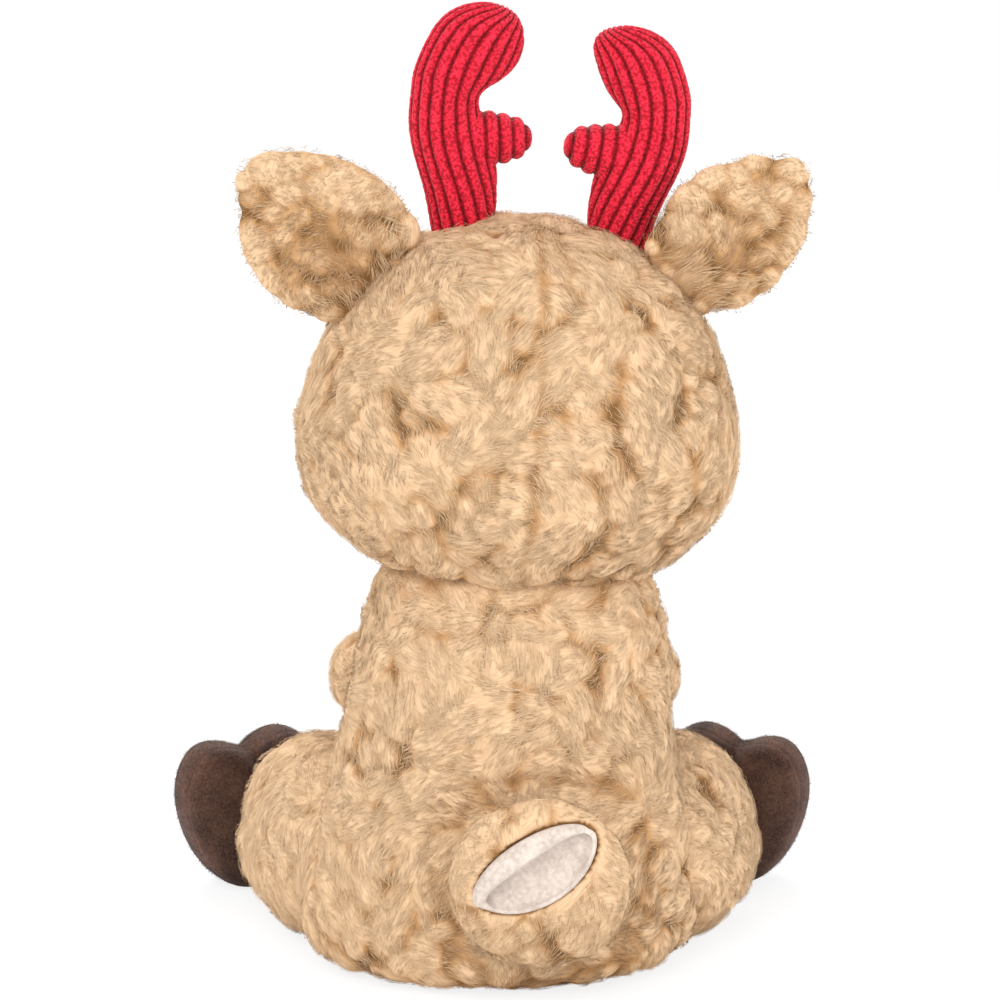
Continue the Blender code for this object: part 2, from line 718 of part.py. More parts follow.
def build_muzzle(head, head_skin, head_filling):
    """Short pile muzzle over a lobe of the head's filling, with a shanked nose and its washer."""
    muzzle = muzzle_form("muzzle", 0, head, PALE_CLOTH)
    combine(muzzle, half_space("cut_muzzle_back", muzzle_point(), Y_AXIS, head))
    combine(muzzle, muzzle_form("cut_muzzle_pocket", -SHORT_PILE, head))
    seat = muzzle_form("cut_muzzle_seat", GAP, head)
    combine(head_skin, seat)
    ahead = muzzle_form("cut_muzzle_ahead", GAP * 2, head)
    combine(ahead, half_space("cut_muzzle_behind", muzzle_point() + Y_AXIS * GAP * 2, Y_AXIS, head))
    combine(head_filling, ahead)
    combine(head_filling, muzzle_form("cut_muzzle_lobe", -SHORT_PILE - GAP * 2, head), "UNION")
    tip = muzzle_point() - Y_AXIS * MUZZLE_LENGTH
    place = tip + Y_AXIS * NOSE_HALF_LENGTH * NOSE_SINK_SHARE + Z_AXIS * MUZZLE_HALF_HEIGHT * NOSE_RISE_SHARE
    radii = Vector((NOSE_HALF_WIDTH, NOSE_HALF_LENGTH, NOSE_HALF_HEIGHT))
    washer_place = place + Y_AXIS * (NOSE_HALF_LENGTH + SHORT_PILE + WASHER_THICKNESS)
    shank_end = washer_place + Y_AXIS * WASHER_THICKNESS * 2
    nose = ovoid("nose", place, radii, parent=head, material=NOSE_FLOCK)
    combine(nose, rod("cut_nose_shank", place, shank_end, SHANK_RADIUS, head), "UNION")
    bigger = ovoid("cut_nose_seat", place, radii + Vector((GAP, GAP, GAP)), parent=head)
    combine(muzzle, bigger)
    combine(muzzle, rod("cut_nose_hole", place, shank_end + Y_AXIS * GAP, SHANK_RADIUS + GAP, head))
    combine(muzzle, rod("cut_nose_washer", washer_place - Y_AXIS * GAP, shank_end + Y_AXIS * GAP,
                        WASHER_RADIUS + GAP, head))
    end = shank_end + Y_AXIS * GAP
    combine(head_filling, rod("cut_nose_room", place, end, WASHER_RADIUS + GAP * 2, head))
    add_washer("nose_washer", washer_place, -Y_AXIS, head)


def add_washer(name, place, outward, head):
    """A flat ring that grips the shank of an eye or a nose."""
    profile = ((SHANK_RADIUS + GAP, 0), (WASHER_RADIUS, 0), (WASHER_RADIUS, -WASHER_THICKNESS),
               (SHANK_RADIUS + GAP, -WASHER_THICKNESS))
    turned(name, profile, place, outward.to_track_quat("Z", "Y").to_matrix(), head, WASHER_PLASTIC)


def build_eye(side, word, head, head_skin, head_filling):
    """Domed eye on a shank through the cover, held by a washer behind it."""
    across, rise = EYE_PLACE_SHARES
    depth = sqrt(1 - across * across)
    surface = Vector((side * across * HEAD_HALF_WIDTH, -HEAD_FORWARD - depth * HEAD_HALF_DEPTH,
                      HEAD_BASE + rise * HEAD_HEIGHT))
    outward = Vector((side * across / HEAD_HALF_WIDTH, -depth / HEAD_HALF_DEPTH, 0)).normalized()
    centre = surface - outward * EYE_SEAT_DEPTH
    washer_place = surface - outward * (LONG_PILE + GAP)
    shank_end = washer_place - outward * WASHER_THICKNESS * 2
    eye = ball(f"eye_{word}", centre, EYE_HALF_DEPTH, EYE_RADIUS, outward, head, EYE_PLASTIC)
    combine(eye, rod(f"cut_eye_shank_{word}", centre, shank_end, SHANK_RADIUS, head), "UNION")
    combine(head_skin, ball(f"cut_eye_seat_{word}", centre, EYE_HALF_DEPTH + GAP, EYE_RADIUS + GAP, outward,
                            head))
    end = shank_end - outward * GAP
    combine(head_skin, rod(f"cut_eye_hole_{word}", centre, end, SHANK_RADIUS + GAP, head))
    combine(head_skin, rod(f"cut_eye_washer_{word}", washer_place + outward * GAP, end, WASHER_RADIUS + GAP,
                           head))
    combine(head_filling, rod(f"cut_eye_room_{word}", surface, end, WASHER_RADIUS + GAP * 2, head))
    add_washer(f"eye_washer_{word}", washer_place, outward, head)


def ear_rows(side, hem, half_thickness, shift=Vector()):
    """Rows of an ear's leaf, drawn in all round by hem."""
    lean = X_AXIS * -side * EAR_HALF_WIDTH
    return rows_of(EAR_SHARES, EAR_LENGTH - hem * 3, EAR_HALF_WIDTH - hem * 1.5, half_thickness, shift, lean)


def ear_cage(side):
    return cage_rings(ear_rows(side, 0, EAR_HALF_THICKNESS + GAP), SMALL_SIDES)[:2]


def build_ear(side, word, head):
    """Fur back with a pale lining let into its front; it turns about the seam at its root."""
    ear = make_empty(f"ear_{word}_hinge", ear_point(side), ear_turn(side), head)
    back = soft_form(f"ear_{word}_back", ear_rows(side, 0, EAR_HALF_THICKNESS), SMALL_SIDES, parent=ear,
                     material=FUR_CLOTH)
    combine(back, capsule(f"cut_ear_roll_{word}", Vector(), Matrix(), EAR_ROOT_RADIUS, ear), "UNION")
    shift = Vector((0, EAR_LINING_HALF_THICKNESS / 2 - EAR_HALF_THICKNESS, EAR_HEM * 2))
    rows = ear_rows(side, EAR_HEM, EAR_LINING_HALF_THICKNESS, shift)
    soft_form(f"ear_{word}_lining", rows, SMALL_SIDES, parent=ear, material=PALE_CLOTH)
    combine(back, soft_form(f"cut_ear_lining_{word}", rows, SMALL_SIDES, -GAP, ear))


def antler_rows(side):
    lean = X_AXIS * side * ANTLER_HALF_WIDTH
    return rows_of(ANTLER_SHARES, antler_length(side), ANTLER_HALF_WIDTH, ANTLER_HALF_DEPTH, lean=lean)


def antler_cage(side):
    return cage_rings(antler_rows(side), SMALL_SIDES)


def antler_branch(name, side, parent):
    """Short stub that stands out from the beam towards the head's middle."""
    rows = rows_of(BRANCH_SHARES, BRANCH_LENGTH, BRANCH_RADIUS, BRANCH_RADIUS)
    branch = soft_form(name, rows, SMALL_SIDES, parent=parent)
    across, rise = BRANCH_PLACE_SHARES
    place = Vector((side * across * ANTLER_HALF_WIDTH, 0, rise * antler_length(side)))
    branch.matrix_local = Matrix.Translation(place) @ Matrix.Rotation(-side * BRANCH_TILT, 4, "Y")
    return branch


def build_antler(side, word, head):
    """Corduroy cover with its filling, on a round root."""
    antler = make_empty(f"antler_{word}_hinge", antler_point(side), antler_turn(side), head)
    cover = soft_form(f"antler_{word}_cover", antler_rows(side), SMALL_SIDES, parent=antler,
                      material=RED_CLOTH)
    combine(cover, antler_branch(f"cut_antler_branch_{word}", side, antler), "UNION")
    combine(cover, ball(f"cut_antler_ball_{word}", Vector(), ANTLER_ROOT_RADIUS, ANTLER_ROOT_RADIUS, X_AXIS,
                        antler), "UNION")
    low, high = Z_AXIS * (CORDUROY - ANTLER_ROOT_RADIUS), Z_AXIS * ANTLER_ROOT_RADIUS
    pocket = inner_form(f"cut_antler_pocket_{word}", antler_rows(side), CORDUROY, antler)
    combine(pocket, rod(f"cut_antler_mouth_{word}", -high * 2, high, ANTLER_MOUTH_RADIUS, antler), "UNION")
    combine(cover, pocket)
    filling = inner_form(f"antler_{word}_filling", antler_rows(side), CORDUROY + GAP * 2, antler, FIBRE_FILL)
    combine(filling, rod(f"cut_antler_plug_{word}", low, high, ANTLER_MOUTH_RADIUS - GAP * 2, antler),
            "UNION")


def build_arm(side, word):
    """Arm cover, fore hoof and one filling through both, on a round shoulder."""
    arm = make_empty(f"shoulder_{word}", shoulder_point(side), arm_turn(side))
    wrist = Z_AXIS * ARM_LENGTH
    skin = soft_form(f"arm_{word}_skin", rows_of(ARM_SHARES, ARM_LENGTH, ARM_RADIUS, ARM_RADIUS), LIMB_SIDES,
                     parent=arm, material=FUR_CLOTH)
    combine(skin, ball(f"cut_arm_ball_{word}", Vector(), SHOULDER_RADIUS, SHOULDER_RADIUS, X_AXIS, arm),
            "UNION")
    combine(skin, half_space(f"cut_past_wrist_{word}", wrist, Z_AXIS, arm))
    inner = ARM_RADIUS - LONG_PILE * ARM_WALL_SHARE
    rows = rows_of(ARM_SHARES, ARM_LENGTH, inner, inner)
    combine(skin, inner_form(f"cut_arm_pocket_{word}", rows, 0, arm))
    rows = rows_of(FORE_HOOF_SHARES, FORE_HOOF_LENGTH, FORE_HOOF_RADIUS, FORE_HOOF_RADIUS, wrist)
    hoof = soft_form(f"fore_hoof_{word}", rows, LIMB_SIDES, parent=arm, material=BROWN_CLOTH)
    combine(hoof, half_space(f"cut_before_wrist_{word}", wrist + Z_AXIS * GAP, -Z_AXIS, arm))
    combine(hoof, inner_form(f"cut_fore_pocket_{word}", rows, SHORT_PILE, arm))
    filling = inner_form(f"arm_{word}_filling", rows_of(ARM_SHARES, ARM_LENGTH, inner, inner), GAP * 2, arm,
                         FIBRE_FILL)
    combine(filling, half_space(f"cut_filling_end_{word}", wrist, Z_AXIS, arm))
    toe = inner_form(f"cut_fore_filling_{word}", rows, SHORT_PILE + GAP * 2, arm)
    combine(toe, half_space(f"cut_fore_filling_start_{word}", wrist + Z_AXIS * GAP * 3, -Z_AXIS, arm))
    combine(filling, toe, "UNION")
    plug = inner * PLUG_SHARE
    end = wrist + Z_AXIS * plug
    combine(filling, rod(f"cut_wrist_plug_{word}", wrist * PLUG_SHARE, end, plug, arm), "UNION")


def hoof_place(side):
    """Where the hoof's middle meets the floor, in the leg's own frame, and how the hoof is turned."""
    place = Vector((side * HOOF_OUTWARD_SHARE * LEG_RADIUS, FLAT_DEPTH - HIP_RADIUS,
                    LEG_LENGTH + HOOF_AHEAD_SHARE * LEG_RADIUS))
    turn = Matrix.Rotation(side * HOOF_TURN, 3, "Y") @ Matrix.Rotation(-side * HOOF_LEAN, 3, "Z")
    return place, turn


def hoof_form(name, side, parent):
    """Cloven hoof: a heart outline carried along the foot, rounded by subdivision."""
    rings = []
    for place_share, size_share in HOOF_SECTION_SHARES:
        ring = []
        for across, up in HOOF_OUTLINE_SHARES:
            middle = HOOF_MIDDLE_SHARE + (up - HOOF_MIDDLE_SHARE) * size_share
            ring.append((across * size_share * HOOF_HALF_WIDTH, middle * HOOF_HEIGHT,
                         place_share * HOOF_HALF_THICKNESS))
        rings.append(ring)
    end = HOOF_END_SHARE * HOOF_HALF_THICKNESS
    middle = HOOF_MIDDLE_SHARE * HOOF_HEIGHT
    bm = bmesh.new()
    loft(bm, (0, middle, -end), rings, (0, middle, end))
    thing = finish(name, bm, parent, BROWN_CLOTH)
    place, turn = hoof_place(side)
    thing.matrix_local = Matrix.Translation(place) @ turn.to_4x4()
    smooth(thing)
    return thing


def build_leg(side, word):
    """Leg cover, cloven hoof and one filling through both, on a round hip."""
    leg = make_empty(f"hip_{word}", hip_point(side), leg_turn(side))
    floor = bpy.data.objects["cut_floor"]
    rows = leg_rows()
    skin = soft_form(f"leg_{word}_skin", rows, BODY_SIDES, parent=leg, material=FUR_CLOTH,
                     settle=LEG_SETTLE_SHARE)
    combine(skin, ball(f"cut_leg_ball_{word}", Vector(), HIP_RADIUS, HIP_RADIUS, Y_AXIS, leg, fine=True),
            "UNION")
    combine(skin, floor)
    hoof = hoof_form(f"hind_hoof_{word}", side, leg)
    combine(hoof, floor)
    combine(hoof, soft_form(f"cut_cuff_{word}", rows, BODY_SIDES, -GAP, leg, settle=LEG_SETTLE_SHARE))
    place, turn = hoof_place(side)
    across, up, along = HOOF_HOLLOW_SHARES
    centre = place + turn @ (Y_AXIS * HOOF_MIDDLE_SHARE * HOOF_HEIGHT)
    for kind, wall, less, material in (("pocket", LONG_PILE, 0, None),
                                       ("filling", LONG_PILE + GAP * 2, GAP * 2, FIBRE_FILL)):
        inner = inner_form(f"leg_{word}_{kind}", rows, wall, leg, material)
        radii = (across * HOOF_HALF_WIDTH - less, up * HOOF_HEIGHT - less, along * HOOF_HALF_THICKNESS - less)
        cap = ovoid(f"cut_hoof_{kind}_{word}", centre, radii, turn, leg)
        combine(cap, inner_form(f"cut_cuff_{kind}_{word}", rows, -wall, leg))
        combine(inner, cap, "UNION")
        ankle = rod(f"cut_ankle_{kind}_{word}", Z_AXIS * LEG_LENGTH, centre, ANKLE_MOUTH_RADIUS - less, leg)
        combine(inner, ankle, "UNION")
        if material is None:
            combine(skin, inner)
            combine(hoof, inner)


def build_tail():
    """Fur tuft on a round root, with a white cupped lining let into its outer side."""
    tail = make_empty("tail_hinge", tail_point())
    fur = ovoid("tail_fur", Y_AXIS * TAIL_STAND_OFF, tail_radii(0), parent=tail, material=FUR_CLOTH,
                segments=BALL_SEGMENTS, rings=BALL_RINGS)
    combine(fur, half_space("cut_tail_back", Y_AXIS * TAIL_BACK_OFF, -Y_AXIS, tail))
    combine(fur, ball("cut_tail_ball", Vector(), TAIL_ROOT_RADIUS, TAIL_ROOT_RADIUS, X_AXIS, tail), "UNION")
    across, rise = LINING_PLACE_SHARES
    face = TAIL_STAND_OFF + TAIL_HALF_THICKNESS - LINING_SINK
    place = Vector((across * TAIL_RADIUS, face, rise * TAIL_HALF_HEIGHT))
    turn = Matrix.Rotation(LINING_TILT, 3, "Y")
    radii = Vector((LINING_HALF_LENGTH, LINING_DEPTH, LINING_HALF_WIDTH))
    combine(fur, ovoid("cut_tail_cup", place, radii + Vector((GAP, GAP, GAP)), turn, tail))
    lining = ovoid("tail_lining", place, radii, turn, tail, WHITE_CLOTH)
    wall = Vector((LINING_THICKNESS, LINING_THICKNESS, LINING_THICKNESS))
    combine(lining, ovoid("cut_lining_hollow", place, radii - wall, turn, tail))
    combine(lining, half_space("cut_lining_front", Y_AXIS * face, Y_AXIS, tail))


def main():
    build_torso()
    build_head()
    for side, word in SIDES:
        build_arm(side, word)
        build_leg(side, word)
    build_tail()


clear_scene()
PIECES = make_collection("plush_deer")
CUTTERS = make_collection("cutters")
FUR_CLOTH = make_material("long_pile", FUR, 0.9)
PALE_CLOTH = make_material("pale_pile", PALE_PILE, 0.9)
WHITE_CLOTH = make_material("white_pile", WHITE_PILE, 0.9)
BROWN_CLOTH = make_material("brown_pile", BROWN_PILE, 0.85)
RED_CLOTH = make_material("red_corduroy", RED_CORD, 0.85)
FIBRE_FILL = make_material("fibre_fill", FIBRE, 0.95)
POUCH_FABRIC = make_material("pouch_cloth", POUCH_CLOTH, 0.9)
NOSE_FLOCK = make_material("nose_flock", NOSE_BROWN, 0.6)
EYE_PLASTIC = make_material("eye_plastic", EYE_BLACK, 0.08)
WASHER_PLASTIC = make_material("washer_plastic", WASHER_WHITE, 0.5)
main()
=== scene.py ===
"""Dresses the packed plush deer in long pile, corduroy and velvet, and sets it on a pale floor.

The toy faces -Y, its left side is +X, and the photograph looks at its back from +Y.
"""

from math import cos, pi, radians, sin

import bpy
import numpy as np
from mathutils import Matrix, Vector


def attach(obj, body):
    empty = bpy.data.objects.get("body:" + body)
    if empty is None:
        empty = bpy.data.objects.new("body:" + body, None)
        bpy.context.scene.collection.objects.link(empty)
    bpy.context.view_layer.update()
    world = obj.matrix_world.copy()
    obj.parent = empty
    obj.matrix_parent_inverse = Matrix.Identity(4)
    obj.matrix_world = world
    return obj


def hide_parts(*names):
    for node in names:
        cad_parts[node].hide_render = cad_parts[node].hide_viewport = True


bl_info = {
    "name": "Plush deer",
    "version": (1, 0, 0),
    "blender": (4, 5, 0),
    "location": "3D View > Sidebar > Plush deer",
    "description": "Makes the covers, pile and stage of a sitting plush deer",
    "category": "Object",
}

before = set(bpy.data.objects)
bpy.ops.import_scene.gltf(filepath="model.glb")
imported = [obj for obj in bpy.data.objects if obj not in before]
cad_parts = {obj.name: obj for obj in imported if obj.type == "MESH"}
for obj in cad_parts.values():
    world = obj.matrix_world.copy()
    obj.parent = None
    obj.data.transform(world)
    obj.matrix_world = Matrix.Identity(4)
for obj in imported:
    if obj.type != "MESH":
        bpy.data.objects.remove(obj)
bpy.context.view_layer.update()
MILLI = 0.001
GOLDEN = 0.6180339887

# Forms, in metres; a row gives rise, width, depth and lean as shares of the form's own sizes
TORSO = (0.112, 0.058, 0.044)
TORSO_ROWS = (
    (-0.010, 0.0, 0.0, 1.00), (-0.005, 0.93, 0.96, 1.00), (0.150, 1.03, 1.01, 1.10),
    (0.400, 0.985, 0.97, 1.00), (0.640, 0.90, 0.95, 0.70), (0.820, 0.86, 0.96, 0.20),
    (0.960, 0.83, 0.93, -0.25), (1.120, 0.74, 0.82, -0.28), (1.240, 0.46, 0.51, -0.28),
    (1.290, 0.0, 0.0, -0.28),
)
TORSO_BACK = 0.007
NECK = np.array((0.0, -0.002, 0.104048))
HEAD = (0.118, 0.068, 0.058)
HEAD_ROWS = (
    (0.255, 0.0, 0.0, 0.0), (0.215, 0.36, 0.36, 0.0), (0.120, 0.55, 0.55, 0.0), (0.050, 0.62, 0.62, 0.0),
    (0.045, 0.76, 0.76, 0.0), (0.190, 0.985, 0.965, 0.0), (0.380, 1.035, 1.02, 0.0),
    (0.580, 0.98, 1.00, 0.0), (0.775, 0.83, 0.87, 0.0), (0.930, 0.52, 0.54, 0.0), (1.000, 0.0, 0.0, 0.0),
)
HEAD_RIM_ROW = 3.6
HEAD_BASE = 0.014
HEAD_FORWARD = 0.005
HEAD_ROLL = radians(-4.4)
HEAD_YAW = radians(5.6)
ARM = (0.041, 0.0158)
ARM_ROWS = (
    (-0.36, 0.0, 0.0, 0.0), (-0.22, 0.98, 0.98, 0.0), (0.20, 1.10, 1.10, 0.0), (0.55, 1.02, 1.02, 0.0),
    (0.90, 1.00, 1.00, 0.0), (1.04, 0.92, 0.92, 0.0), (1.10, 0.0, 0.0, 0.0),
)
FORE_HOOF = (0.022, 0.0128)
FORE_HOOF_ROWS = (
    (-0.30, 0.0, 0.0, 0.0), (-0.22, 0.98, 0.98, 0.0), (0.25, 1.12, 1.04, 0.0), (0.75, 0.98, 0.86, 0.0),
    (0.98, 0.52, 0.44, 0.0), (1.04, 0.0, 0.0, 0.0),
)
SHOULDER = (0.04118, -0.02156, 0.08344)
ARM_DROP = radians(16.0)
ARM_TOE_IN = radians(-1.5)
LEG = (0.0385, 0.0302)
LEG_ROWS = (
    (-0.66, 0.0, 0.0, 0.0), (-0.55, 0.72, 0.72, 0.0), (-0.10, 1.02, 1.02, 0.0), (0.40, 1.03, 1.02, 0.0),
    (0.95, 1.03, 1.02, 0.0), (1.42, 0.86, 0.86, 0.0), (1.66, 0.46, 0.46, 0.0), (1.70, 0.0, 0.0, 0.0),
)
LEG_SETTLE = 0.20
HIP = (0.045008, -0.008008, 0.0305)
LEG_SPLAYS = {1: radians(20.0), -1: radians(13.0)}
HOOF = (0.0510, 0.0245, 0.0165)
HOOF_OUTLINE = (
    (0.00, -0.04), (0.48, 0.00), (0.84, 0.20), (1.02, 0.50), (1.02, 0.80), (0.68, 1.05), (0.22, 1.00),
    (0.00, 0.92), (-0.22, 1.00), (-0.68, 1.05), (-1.02, 0.80), (-1.02, 0.50), (-0.84, 0.20), (-0.48, 0.00),
)
HOOF_MIDDLE = 0.47
HOOF_BEHIND = 0.0305
HOOF_AHEAD = 1.17
HOOF_OUTWARD = 0.36
HOOF_TURN = radians(7.0)
HOOF_LEAN = radians(7.0)
EARS = {1: (0.050, 0.0232), -1: (0.0480, 0.0204)}
EAR_DEPTH = 0.0058
EAR_ROWS = (
    (-0.19, 0.0, 0.0, 0.0), (-0.13, 0.86, 0.95, 0.0), (0.050, 0.92, 1.00, 0.0), (0.300, 1.12, 1.05, 0.0),
    (0.570, 1.00, 1.00, 0.02), (0.820, 0.66, 0.90, 0.08), (0.985, 0.34, 0.45, 0.12),
    (1.020, 0.0, 0.0, 0.13),
)
EAR_LEANS = {1: radians(59.5), -1: radians(-50.0)}
EAR_SHIFTS = {1: (0.0, -0.0034), -1: (0.0030, 0.0030)}
EAR_PLACE = (0.72 * HEAD[1], 0.003, HEAD_BASE + 0.835 * HEAD[0])
ANTLER_LENGTHS = {1: 0.0745, -1: 0.0700}
ANTLER = (0.0128, 0.0105)
ANTLER_ROWS = (
    (-0.130, 0.0, 0.0, 0.0), (-0.080, 0.58, 0.66, 0.0), (0.0, 0.72, 0.76, 0.0), (0.170, 0.86, 0.92, 0.09),
    (0.300, 0.98, 0.99, 0.30), (0.430, 0.98, 1.02, 0.52), (0.550, 0.76, 1.00, 0.73),
    (0.610, 0.86, 1.02, 0.62), (0.670, 1.08, 1.03, 0.38), (0.780, 1.10, 1.03, 0.13),
    (0.880, 1.00, 0.94, -0.04), (0.940, 0.60, 0.56, -0.14), (0.962, 0.0, 0.0, -0.16),
)
ANTLER_HOOKS = {1: 0.0020, -1: -0.0012}
ANTLER_LEAN = radians(-0.5)
ANTLER_PLACE = (0.353 * HEAD[1], -0.013, HEAD_BASE + 0.894 * HEAD[0])
ANTLER_ASIDE = 0.0027
BRANCH = (0.0255, 0.0087)
BRANCH_ROWS = (
    (0.04, 0.0, 0.0, 0.0), (0.10, 1.06, 1.00, 0.0), (0.36, 1.04, 1.02, 0.0), (0.66, 0.88, 0.92, 0.0),
    (0.90, 0.66, 0.66, 0.0), (0.98, 0.36, 0.36, 0.0), (1.00, 0.0, 0.0, 0.0),
)
BRANCH_PLACE = (0.50, 0.383)
BRANCH_TILT = radians(84.0)
TAIL = np.array((-0.012006, 0.042988, 0.036064))
TAIL_RADII = (0.0300, 0.0115, 0.0305)
TAIL_OFF = 0.0165
LINING = (0.0195, 0.0050, 0.0098)
LINING_PLACE = (0.083, 0.32)
LINING_TILT = radians(31.0)
MUZZLE_RADII = (0.027, 0.034, 0.020)
MUZZLE_PLACE = (0.0, -0.862 * HEAD[2], HEAD_BASE + 0.271 * HEAD[0])
NOSE_RADII = (0.0095, 0.0055, 0.0065)
EYE = (0.0062, 0.0040, 0.0025)
EYE_PLACE = (0.404, 0.475)
SIDES = ((1, "left"), (-1, "right"))

# Hairs in a lock of long pile, half the width of one, and its height as a share of that
HAIRS = 5
HAIR_WIDTH = 0.12 * MILLI
HAIR_FLAT = 0.28


def turn_about(axis, angle):
    """Matrix of a right-handed turn about X (0), Y (1) or Z (2)."""
    c, s = cos(angle), sin(angle)
    turn = np.eye(3)
    i, j = (axis + 1) % 3, (axis + 2) % 3
    turn[i, i], turn[j, j], turn[i, j], turn[j, i] = c, c, -s, s
    return turn


HEAD_TURN = turn_about(1, HEAD_ROLL) @ turn_about(2, HEAD_YAW)


def linear(red, green, blue):
    """Screen colour from 0 to 255 as the colour that nodes use."""
    share = np.array((red, green, blue)) / 255
    return tuple(np.where(share <= 0.04045, share / 12.92, ((share + 0.055) / 1.055) ** 2.4))


def unit(vectors):
    return vectors / np.maximum(np.linalg.norm(vectors, axis=-1, keepdims=True), 1e-12)


def settled(points, depth=0.003):
    """Points near the floor, pressed flat without ever reaching it: z becomes d exp(z / d - 1) below d."""
    z = points[..., 2]
    points[..., 2] = np.where(z < depth, depth * np.exp(np.minimum(z, depth) / depth - 1), z)
    return points


def flattened(ways, normals):
    """Unit ways laid down on the surface."""
    return unit(ways - (ways * normals).sum(1, keepdims=True) * normals)


def spline(points, t):
    """Cubic B-spline between four neighbouring control points."""
    weights = ((1 - t) ** 3, 3 * t**3 - 6 * t**2 + 4, -3 * t**3 + 3 * t**2 + 3 * t + 1, t**3)
    return sum(w * p for w, p in zip(weights, points)) / 6


class Form:
    """A stuffed form: oval rings along its own Z, joined by a cubic B-spline that rounds both ends off.

    At row v and angle u a point is centre(v) + (a(v) cos u, b(v) sin u), turned and then placed. Below the
    middle plane the rings are fuller at their corners by settle.
    """

    def __init__(self, rows, turn=None, place=(0, 0, 0), settle=0.0):
        self.rows = np.array(rows, float)
        self.turn = np.eye(3) if turn is None else turn
        self.place = np.array(place, float)
        self.settle = settle
        mirror = np.array((1, 1, 1, -1, -1))
        self.control = np.vstack((self.rows[1] * mirror, self.rows, self.rows[-2] * mirror))

    @property
    def last(self):
        return len(self.rows) - 1

    def local(self, points):
        """Points in the form's own frame."""
        return (points - self.place) @ self.turn

    def ends(self):
        """The two poles."""
        return self.points(np.zeros(2), np.array((0.0, self.last)))

    def shrunk(self, across, deep=None):
        """The same form with every ring smaller and its ends drawn in."""
        rows = self.rows.copy()
        deep = across if deep is None else deep
        rows[1:-1, 3] = np.maximum(rows[1:-1, 3] - across, 0.2 * MILLI)
        rows[1:-1, 4] = np.maximum(rows[1:-1, 4] - deep, 0.2 * MILLI)
        for end, inner in ((0, 1), (-1, -2)):
            step = rows[inner, 2] - rows[end, 2]
            rows[end, 2] += np.sign(step) * across
            rows[inner, 2] += np.sign(step) * across * 0.7
        return Form(rows, self.turn, self.place, self.settle)

    def rings(self, v):
        i = np.clip(v.astype(int), 0, self.last - 1)
        return spline([self.control[i + k] for k in range(4)], (v - i)[:, None])

    def points(self, u, v):
        ring = self.rings(v)
        corner = 1 + self.settle * np.abs(np.sin(2 * u)) * (np.sin(u) < 0)
        local = np.stack((ring[:, 0] + ring[:, 3] * np.cos(u) * corner,
                          ring[:, 1] + ring[:, 4] * np.sin(u) * corner, ring[:, 2]), 1)
        return local @ self.turn.T + self.place

    def normals(self, u, v):
        """Outward normals, from small steps along both parameters."""
        step = 1e-3
        low, high = np.maximum(v - step, 1e-4), np.minimum(v + step, self.last - 1e-4)
        around = self.points(u + step, v) - self.points(u - step, v)
        return unit(np.cross(around, self.points(u, high) - self.points(u, low)))

    def slide(self, u, v, way, far):
        """Places about far away from (u, v) along each way, from the slopes along both parameters."""
        step = 1e-3
        place = self.points(u, v)
        pu = (self.points(u + step, v) - place) / step
        pv = (self.points(u, np.minimum(v + step, self.last - 1e-4)) - place) / step
        e, f, g = (pu * pu).sum(1), (pu * pv).sum(1), (pv * pv).sum(1)
        a, b = (way * pu).sum(1), (way * pv).sum(1)
        det = np.maximum(e * g - f * f, 1e-12)
        du, dv = (g * a - f * b) / det * far, (e * b - f * a) / det * far
        row = np.clip(v + np.clip(dv, -1.2, 1.2), 0.02, self.last - 0.02)
        return self.points(u + np.clip(du, -1.2, 1.2), row)

    def scatter(self, spacing, rng, low=0.05):
        """Places (u, v), one for each square of the given spacing: a golden-ratio spiral, a little shaken.

        Place i lies where the share (i + 1/2) / n of the area is below it, and the share frac(GOLDEN i) of
        its row is behind it.
        """
        us, vs = np.linspace(0, 2 * pi, 97), np.linspace(low, self.last - 0.05, 129)
        u, v = np.meshgrid(us, vs)
        grid = self.points(u.ravel(), v.ravel()).reshape(*u.shape, 3)
        across, along = np.diff(grid, axis=1)[:-1], np.diff(grid, axis=0)[:, :-1]
        area = np.linalg.norm(np.cross(across, along), axis=2)
        count = int(area.sum() / spacing**2)
        rows = np.concatenate(((0.0,), np.cumsum(area.sum(1)) / area.sum()))
        i = np.arange(count)
        shaken = rng.uniform(-0.45, 0.45, (2, count))
        perimeter = 2 * np.sqrt(pi * area.sum()) / spacing
        v = np.interp((i + 0.5) / count + shaken[0] / perimeter, rows, vs)
        turns = np.cumsum(area, 1) / area.sum(1, keepdims=True)
        row = np.clip(np.searchsorted(vs, v) - 1, 0, len(area) - 1)
        share = (i * GOLDEN + shaken[1] / perimeter) % 1
        before = (turns[row] < share[:, None]).sum(1)
        return us[before] + rng.random(count) * (us[1] - us[0]), v

    def inside(self, points, margin=0.0):
        """Whether each point lies in the form, grown by margin."""
        local = self.local(points)
        v = np.linspace(0, self.last, 200)
        ring = self.rings(v)
        top = np.argmin(ring[:, 2]) if self.rows[0, 2] > self.rows[3, 2] else 0
        ring = ring[top:]
        height = np.maximum.accumulate(ring[:, 2])
        x, y, a, b = (np.interp(local[:, 2], height, ring[:, k]) for k in (0, 1, 3, 4))
        round_it = ((local[:, 0] - x) / (a + margin)) ** 2 + ((local[:, 1] - y) / (b + margin)) ** 2 < 1
        return round_it & (local[:, 2] > height[0] - margin) & (local[:, 2] < height[-1] + margin)


